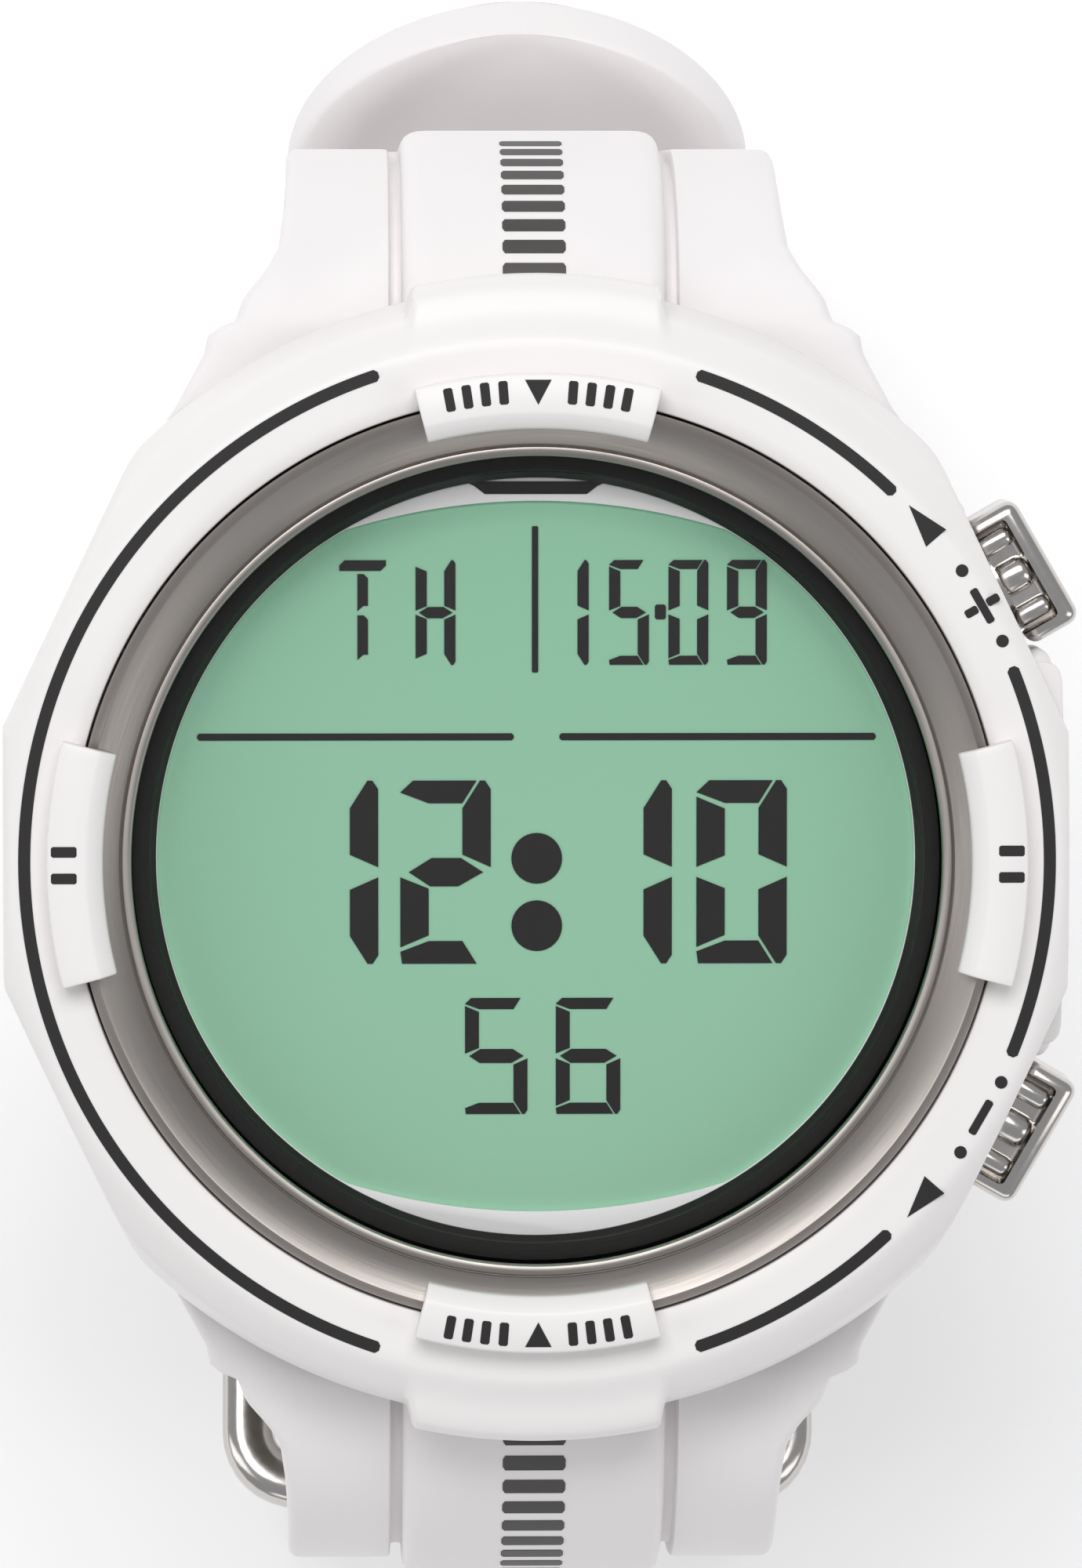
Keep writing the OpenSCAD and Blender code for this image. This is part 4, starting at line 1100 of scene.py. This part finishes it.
class WATCH_OT_strap_long(bpy.types.Operator):
    """Builds the long strap half with its holes and its tail with a raised rim"""

    bl_idname = "watch.strap_long"
    bl_label = "Long strap half"

    def execute(self, context):
        sizes = context.scene.watch_sizes
        half, thick = sizes.strap_w / 2, sizes.strap_t / 2
        slope = math.radians(TAIL_SLOPE)
        out = (math.sin(slope), -math.cos(slope))
        end = (UPPER_C[0] + UPPER_OUT * math.sin(slope), UPPER_C[1] - UPPER_OUT * math.cos(slope))
        path = shoulder_path(-1, LOWER_REACH)
        path += arc_path(LOWER_C, LOWER_OUT, -90, 0, 44)[1:]
        path += straight_path((LOWER_C[0], OUTER_Z), (UPPER_C[0], OUTER_Z), (0.0, -1.0), 28)
        path += arc_path(UPPER_C, UPPER_OUT, 0, TAIL_SLOPE, 22)
        tip_start = TAIL_L - TIP_L
        stops = list(np.linspace(0.6, tip_start, 12))
        stops += [tip_start + TIP_L * math.sin(math.pi / 2 * i / 26) for i in range(1, 26)] + [TAIL_L - 0.004]
        for s in stops:
            path.append(((end[0] + s * math.cos(slope), end[1] + s * math.sin(slope)), out))

        def shape(y, z):
            along = (y - end[0]) * math.cos(slope) + (z - end[1]) * math.sin(slope) if y > end[0] - 0.01 else -1.0
            if along > tip_start:
                u = min(1.0, (along - tip_start) / TIP_L)
                width = max(0.35, (half + 0.02) * math.sqrt(max(0.0, 1 - u * u)))
                return tail_section(width, thick, u)
            if y > 6.0 and z < CASE_Z - 20:
                return tail_section(half, thick, 0.0, float(ease((y - 14.0) / 14.0)))
            return side_shape(y, z, half, thick) if y < 0 else section(half, -thick, thick, 0.0)

        obj = strap_skin("strap_long_look", path, shape)
        for y in range(-12, 13, 6):
            cut_away(obj, rod("hole", (0, y, -1), (0, y, 5), 1.2, 48))
        lean = math.atan2(BOW_Z - BUCKLE_Z, BUCKLE_Y - BOW_Y)
        c, s = math.cos(lean), math.sin(lean)
        slot = block("slot", (0, 0, 0), (2.6, 11.7, 3.8))
        at = points_of(slot)
        y, z = at[:, 1] - 10.35, at[:, 2] - 0.5
        place(slot, np.stack([at[:, 0], BUCKLE_Y + y * c + z * s, BUCKLE_Z - y * s + z * c], 1))
        cut_away(obj, slot)
        lug_gaps(obj, -1)
        finish(obj, MATERIALS["white_strap"], None, ["strap_long"], 40)
        bend_at_lug(obj)
        return {"FINISHED"}


def tail_section(half, thick, tip, rim=1.0):
    """The tail's section: its inner face dips between a raised rim on either side."""
    shape = section(half, -thick, thick, 0.0, edge=min(0.55, half * 0.45))
    depth = 1.15 * rim * float(ease(1.2 - tip * 1.1))
    inner_width = max(half - 1.3, 0.05)
    new = []
    for x, off in shape:
        if off <= -thick + 0.001 and abs(x) < inner_width:
            off = off + depth * float(ease((inner_width - abs(x)) / 4.6))
        new.append((x, off))
    return new


class WATCH_OT_strap_short(bpy.types.Operator):
    """Builds the short strap half, which ends round the buckle pin"""

    bl_idname = "watch.strap_short"
    bl_label = "Short strap half"

    def execute(self, context):
        sizes = context.scene.watch_sizes
        half, thick = sizes.strap_w / 2, sizes.strap_t / 2
        path = shoulder_path(1, UPPER_REACH)
        path += arc_path(UPPER_C, UPPER_IN, 90, 0, 44)[1:]
        path += straight_path((UPPER_C[0], INNER_Z), (LOWER_C[0], INNER_Z), (0.0, -1.0), 28)
        path += arc_path(LOWER_C, LOWER_IN, 0, -19.5, 12)

        def shape(y, z):
            return side_shape(y, z, half, thick) if y > 0 else section(half, -thick, thick, 0.0)

        body = strap_skin("strap_short_look", path, shape)
        knuckle = rod("knuckle", (-half + 0.1, BUCKLE_Y, BUCKLE_Z), (half - 0.1, BUCKLE_Y, BUCKLE_Z), 2.1)
        rounded(knuckle, 0.4, 3)
        slot = block("slot", (0, BUCKLE_Y - 1.5, BUCKLE_Z + 0.3), (2.8, 9.0, 8.0))
        cut_away(body, copied(slot, "slot_two"))
        cut_away(knuckle, slot)
        lug_gaps(body, 1)
        obj = join("strap_short_look", [body, knuckle])
        finish(obj, MATERIALS["white_strap"], None, ["strap_short"], 40)
        bend_at_lug(obj)
        return {"FINISHED"}


def ladder(name, side, reach):
    """Printed bars that follow the rib down from the hood."""
    wide, high = reach - SHOULDER_Y, SHOULDER_Z - SIDE_Z
    parts = []
    for i in range(9):
        a0 = math.radians(11 + i * 6.6)
        rows = []
        for k in range(5):
            a = a0 + math.radians(3.9) * k / 4
            normal = (side * math.sin(a) * high, math.cos(a) * wide)
            length = math.hypot(*normal)
            ny, nz = normal[0] / length, normal[1] / length
            y = side * (SHOULDER_Y + wide * math.sin(a))
            z = CASE_Z + SIDE_Z + high * math.cos(a)
            trim = 0.12 if k in (0, 4) else 0.0
            low, top = HALF_T + 0.86, HALF_T + RIB_H + 0.03
            x = 1.5 - trim
            ring = [(x, low), (x, top), (-x, top), (-x, low), (x, low)]
            rows.append([(x, y + ny * off, z + nz * off) for x, off in ring])
        parts.append(sleeve("bar", rows))
    return join(name, parts)


class WATCH_OT_strap_print(bpy.types.Operator):
    """Builds the ladder of dark bars printed on both ribs"""

    bl_idname = "watch.strap_print"
    bl_label = "Strap print"

    def execute(self, context):
        halves = (("upper", 1, UPPER_REACH, "short"), ("lower", -1, LOWER_REACH, "long"))
        for label, side, reach, half in halves:
            obj = ladder(f"strap_marks_{label}_look", side, reach)
            finish(obj, MATERIALS["grey_print"], None, [f"strap_marks_{label}"])
            bend_at_lug(obj)
        return {"FINISHED"}


# ---------------------------------------------------------------- buckle and keepers

# The middle of the bow, its half-thickness, the frame's width and the radius of its corners
BOW_Y, BOW_Z, BOW_R = -35.32, 12.54, 1.2
BUCKLE_W, BUCKLE_CORNER = 30.6, 2.6
BUCKLE_RUN = math.hypot(BUCKLE_Y - BOW_Y, BOW_Z - BUCKLE_Z)


def squared(angle, half_x, half_y, power):
    """A point on a squared-off oval: the lower the power, the squarer it is."""
    c, s = math.cos(angle), math.sin(angle)
    return half_x * math.copysign(abs(c) ** power, c), half_y * math.copysign(abs(s) ** power, s)


def on_buckle(points):
    """Points along X, from the pin towards the bow, and outwards, put in place on the buckle."""
    back = ((BOW_Y - BUCKLE_Y) / BUCKLE_RUN, (BOW_Z - BUCKLE_Z) / BUCKLE_RUN)
    out = (-back[1], back[0])
    out = out if out[1] < 0 else (-out[0], -out[1])
    return [(x, BUCKLE_Y + back[0] * s + out[0] * o, BUCKLE_Z + back[1] * s + out[1] * o) for x, s, o in points]


class WATCH_OT_buckle(bpy.types.Operator):
    """Builds the steel buckle frame, its prong and its pin"""

    bl_idname = "watch.buckle"
    bl_label = "Buckle"

    def execute(self, context):
        run, corner = BUCKLE_RUN, BUCKLE_CORNER
        half, centre = BUCKLE_W / 2, BUCKLE_W / 2 - 1.35
        line = [(centre, -0.9), (centre, 2.0), (centre, run - corner)]
        for i in range(1, 9):
            a = math.pi / 2 * i / 8
            line.append((centre - corner + corner * math.cos(a), run - corner + corner * math.sin(a)))
        line += [(x, run) for x in np.linspace(centre - 3.6, 0, 6)]
        line += [(-x, s) for x, s in line[-2::-1]]
        rows = []
        for i, (x, s) in enumerate(line):
            before, after = line[max(i - 1, 0)], line[min(i + 1, len(line) - 1)]
            dx, ds = after[0] - before[0], after[1] - before[1]
            length = math.hypot(dx, ds)
            across = (ds / length, -dx / length)
            ring = []
            for k in range(25):
                w, h = squared(2 * math.pi * k / 24, 1.34, BOW_R, 0.7)
                ring.append((x + across[0] * w, s + across[1] * w, h))
            rows.append(on_buckle(ring))
        bow = sleeve("buckle_frame_look", rows)
        for side in (-1, 1):
            start, end = (side * (centre - 2), BUCKLE_Y, BUCKLE_Z), (side * (half + 1), BUCKLE_Y, BUCKLE_Z)
            cut_away(bow, rod("bore", start, end, PIN_BORE, 32))
        rounded(bow, 0.2, 2, 50)
        finish(bow, MATERIALS["polished_steel"], "buckle", ["buckle_frame"], 40)

        lift = math.atan((BOW_R + 0.6 + 0.22) / run)
        rows = []
        for s in np.linspace(0.3, run + 0.9, 22):
            u = s / run
            w = 1.0 - 0.25 * float(ease((u - 0.75) / 0.3))
            h = 0.6 - 0.15 * float(ease((u - 0.8) / 0.25))
            low = -s * math.tan(lift)
            ring = [squared(2 * math.pi * k / 16, w, h, 0.6) for k in range(17)]
            rows.append(on_buckle([(x, s, low + o) for x, o in ring]))
        tongue = sleeve("tongue", rows)
        eye = rod("eye", (-1.0, BUCKLE_Y, BUCKLE_Z), (1.0, BUCKLE_Y, BUCKLE_Z), 1.8)
        rounded(eye, 0.25, 3)
        cut_away(eye, rod("bore", (-3, BUCKLE_Y, BUCKLE_Z), (3, BUCKLE_Y, BUCKLE_Z), PIN_BORE, 32))
        prong = join("buckle_prong_look", [tongue, eye])
        finish(prong, MATERIALS["polished_steel"], "prong", ["buckle_prong"], 40)

        pin = rod("buckle_pin_look", (-half + 0.2, BUCKLE_Y, BUCKLE_Z), (half - 0.2, BUCKLE_Y, BUCKLE_Z), 0.9)
        rounded(pin, 0.2, 3)
        finish(pin, MATERIALS["plain_steel"], "short_strap", ["buckle_pin"], 40)
        return {"FINISHED"}


class WATCH_OT_keepers(bpy.types.Operator):
    """Builds the fixed and the sliding strap keeper"""

    bl_idname = "watch.keepers"
    bl_label = "Strap keepers"

    def execute(self, context):
        for node, body in (("fixed_keeper", "short_strap"), ("sliding_keeper", "keeper")):
            low, high = node_box(node)
            wide, tall = high[0] - low[0], high[2] - low[2]
            middle = (low[2] + high[2]) / 2
            turns = [2 * math.pi * k / 64 for k in range(64)]
            outer = [squared(a, wide / 2, tall / 2, 0.28) for a in turns]
            inner = [squared(a, wide / 2 - 1, tall / 2 - 0.6, 0.16) for a in turns]
            start, end = low[1], high[1]
            # Round the wall once: each ring, its place along the strap, and how far it is drawn in
            profile = [
                (outer, start + 0.3, 0.25), (outer, start + 0.08, 0.6), (inner, start, -0.25),
                (inner, start + 0.3, 0.0), (inner, end - 0.3, 0.0), (inner, end, -0.25),
                (outer, end - 0.08, 0.6), (outer, end - 0.3, 0.25), (outer, end - 0.8, 0.0),
                (outer, start + 0.8, 0.0), (outer, start + 0.3, 0.25),
            ]
            rows = []
            for ring, y, inset in profile:
                thin_x, thin_z = 1 - inset / wide, 1 - inset / tall
                rows.append([(x * thin_x, y, middle + z * thin_z) for x, z in ring + ring[:1]])
            obj = sleeve(f"{node}_look", rows)
            finish(obj, MATERIALS["white_strap"], body, [node], 50)
        return {"FINISHED"}


# ---------------------------------------------------------------- stage


# How far the camera stands, and the height that it takes in at the display, in millimetres
CAMERA_DISTANCE, VIEW_HEIGHT = 450, 73.6


class WATCH_OT_stage(bpy.types.Operator):
    """Builds the floor, the soft lights and the camera"""

    bl_idname = "watch.stage"
    bl_label = "Stage"

    def execute(self, context):
        begin()
        bpy.ops.mesh.primitive_plane_add(size=4.0)
        floor = context.object
        floor.name = "floor"
        floor.location.z = -0.0002
        material, _, shader = new_material("paper_floor", "#F6F5F4", Roughness=0.95)
        shader.inputs["Specular IOR Level"].default_value = 0.2
        shader.inputs["Emission Color"].default_value = (1.0, 1.0, 1.0, 1.0)
        shader.inputs["Emission Strength"].default_value = 0.2
        floor.data.materials.append(material)

        world = bpy.data.worlds.new("soft_room")
        world.use_nodes = True
        world.node_tree.nodes["Background"].inputs["Color"].default_value = (0.94, 0.96, 1.0, 1.0)
        world.node_tree.nodes["Background"].inputs["Strength"].default_value = 0.4
        context.scene.world = world
        lamps = [
            ("key", (-0.04, 0.3, 0.58), (0.5, 0.3), 2.35),
            ("fill_left", (-0.55, -0.02, 0.35), (0.25, 0.5), 0.55),
            ("fill_right", (0.5, -0.15, 0.42), (0.25, 0.4), 0.45),
            ("low", (0.0, -0.55, 0.28), (0.6, 0.2), 0.38),
        ]
        target = Vector((0, 0, 0.05))
        for name, place_at, size, power in lamps:
            light = bpy.data.lights.new(name, "AREA")
            light.shape = "RECTANGLE"
            light.size, light.size_y = size
            light.energy = power
            lamp = bpy.data.objects.new(name, light)
            lamp.location = place_at
            lamp.rotation_euler = (target - Vector(place_at)).to_track_quat("-Z", "Y").to_euler()
            context.collection.objects.link(lamp)

        data = bpy.data.cameras.new("camera")
        camera = bpy.data.objects.new("camera", data)
        context.collection.objects.link(camera)
        face = Vector((0.0002, 0.00357, (CASE_Z + 12) * MM))
        lean_x, lean_y = math.radians(-1.3), math.radians(3.5)
        away = Vector((math.tan(lean_x), math.tan(lean_y), 1.0)).normalized()
        right = Vector((0, 1, 0)).cross(away).normalized()
        axes = Matrix((right, away.cross(right), away)).transposed()
        camera.location = face + away * CAMERA_DISTANCE * MM
        camera.rotation_euler = axes.to_euler()
        data.sensor_fit = "VERTICAL"
        data.sensor_height = 24.0
        data.angle_y = 2 * math.atan(VIEW_HEIGHT / 2 / CAMERA_DISTANCE)
        data.clip_start, data.clip_end = 0.01, 20.0
        context.scene.camera = camera
        context.scene.view_settings.view_transform = "Standard"
        return {"FINISHED"}


class WATCH_PT_panel(bpy.types.Panel):
    """Lists the sizes, colours and pieces in the sidebar"""

    bl_label = "Dive computer"
    bl_idname = "WATCH_PT_panel"
    bl_space_type = "VIEW_3D"
    bl_region_type = "UI"
    bl_category = "Dive computer"

    def draw(self, context):
        layout = self.layout
        for group in (context.scene.watch_sizes, context.scene.watch_colours):
            box = layout.box()
            for key in group.bl_rna.properties.keys():
                if key not in ("rna_type", "name"):
                    box.prop(group, key)
        for piece in PIECES:
            layout.operator(piece.bl_idname)


PIECES = (
    WATCH_OT_stage,
    WATCH_OT_case_body,
    WATCH_OT_bezel_cover,
    WATCH_OT_bezel_marks,
    WATCH_OT_steel_ring,
    WATCH_OT_display,
    WATCH_OT_buttons,
    WATCH_OT_strap_long,
    WATCH_OT_strap_short,
    WATCH_OT_strap_print,
    WATCH_OT_buckle,
    WATCH_OT_keepers,
)
CLASSES = (WatchSizes, WatchColours) + PIECES + (WATCH_PT_panel,)


def register():
    for cls in CLASSES:
        bpy.utils.register_class(cls)
    bpy.types.Scene.watch_sizes = bpy.props.PointerProperty(type=WatchSizes)
    bpy.types.Scene.watch_colours = bpy.props.PointerProperty(type=WatchColours)


def unregister():
    del bpy.types.Scene.watch_colours
    del bpy.types.Scene.watch_sizes
    for cls in reversed(CLASSES):
        bpy.utils.unregister_class(cls)


def main():
    """Registers the add-on, makes the materials and builds every piece in order."""
    register()
    make_materials()
    for piece in PIECES:
        group, name = piece.bl_idname.split(".")
        getattr(getattr(bpy.ops, group), name)()


if __name__ == "__main__":
    main()
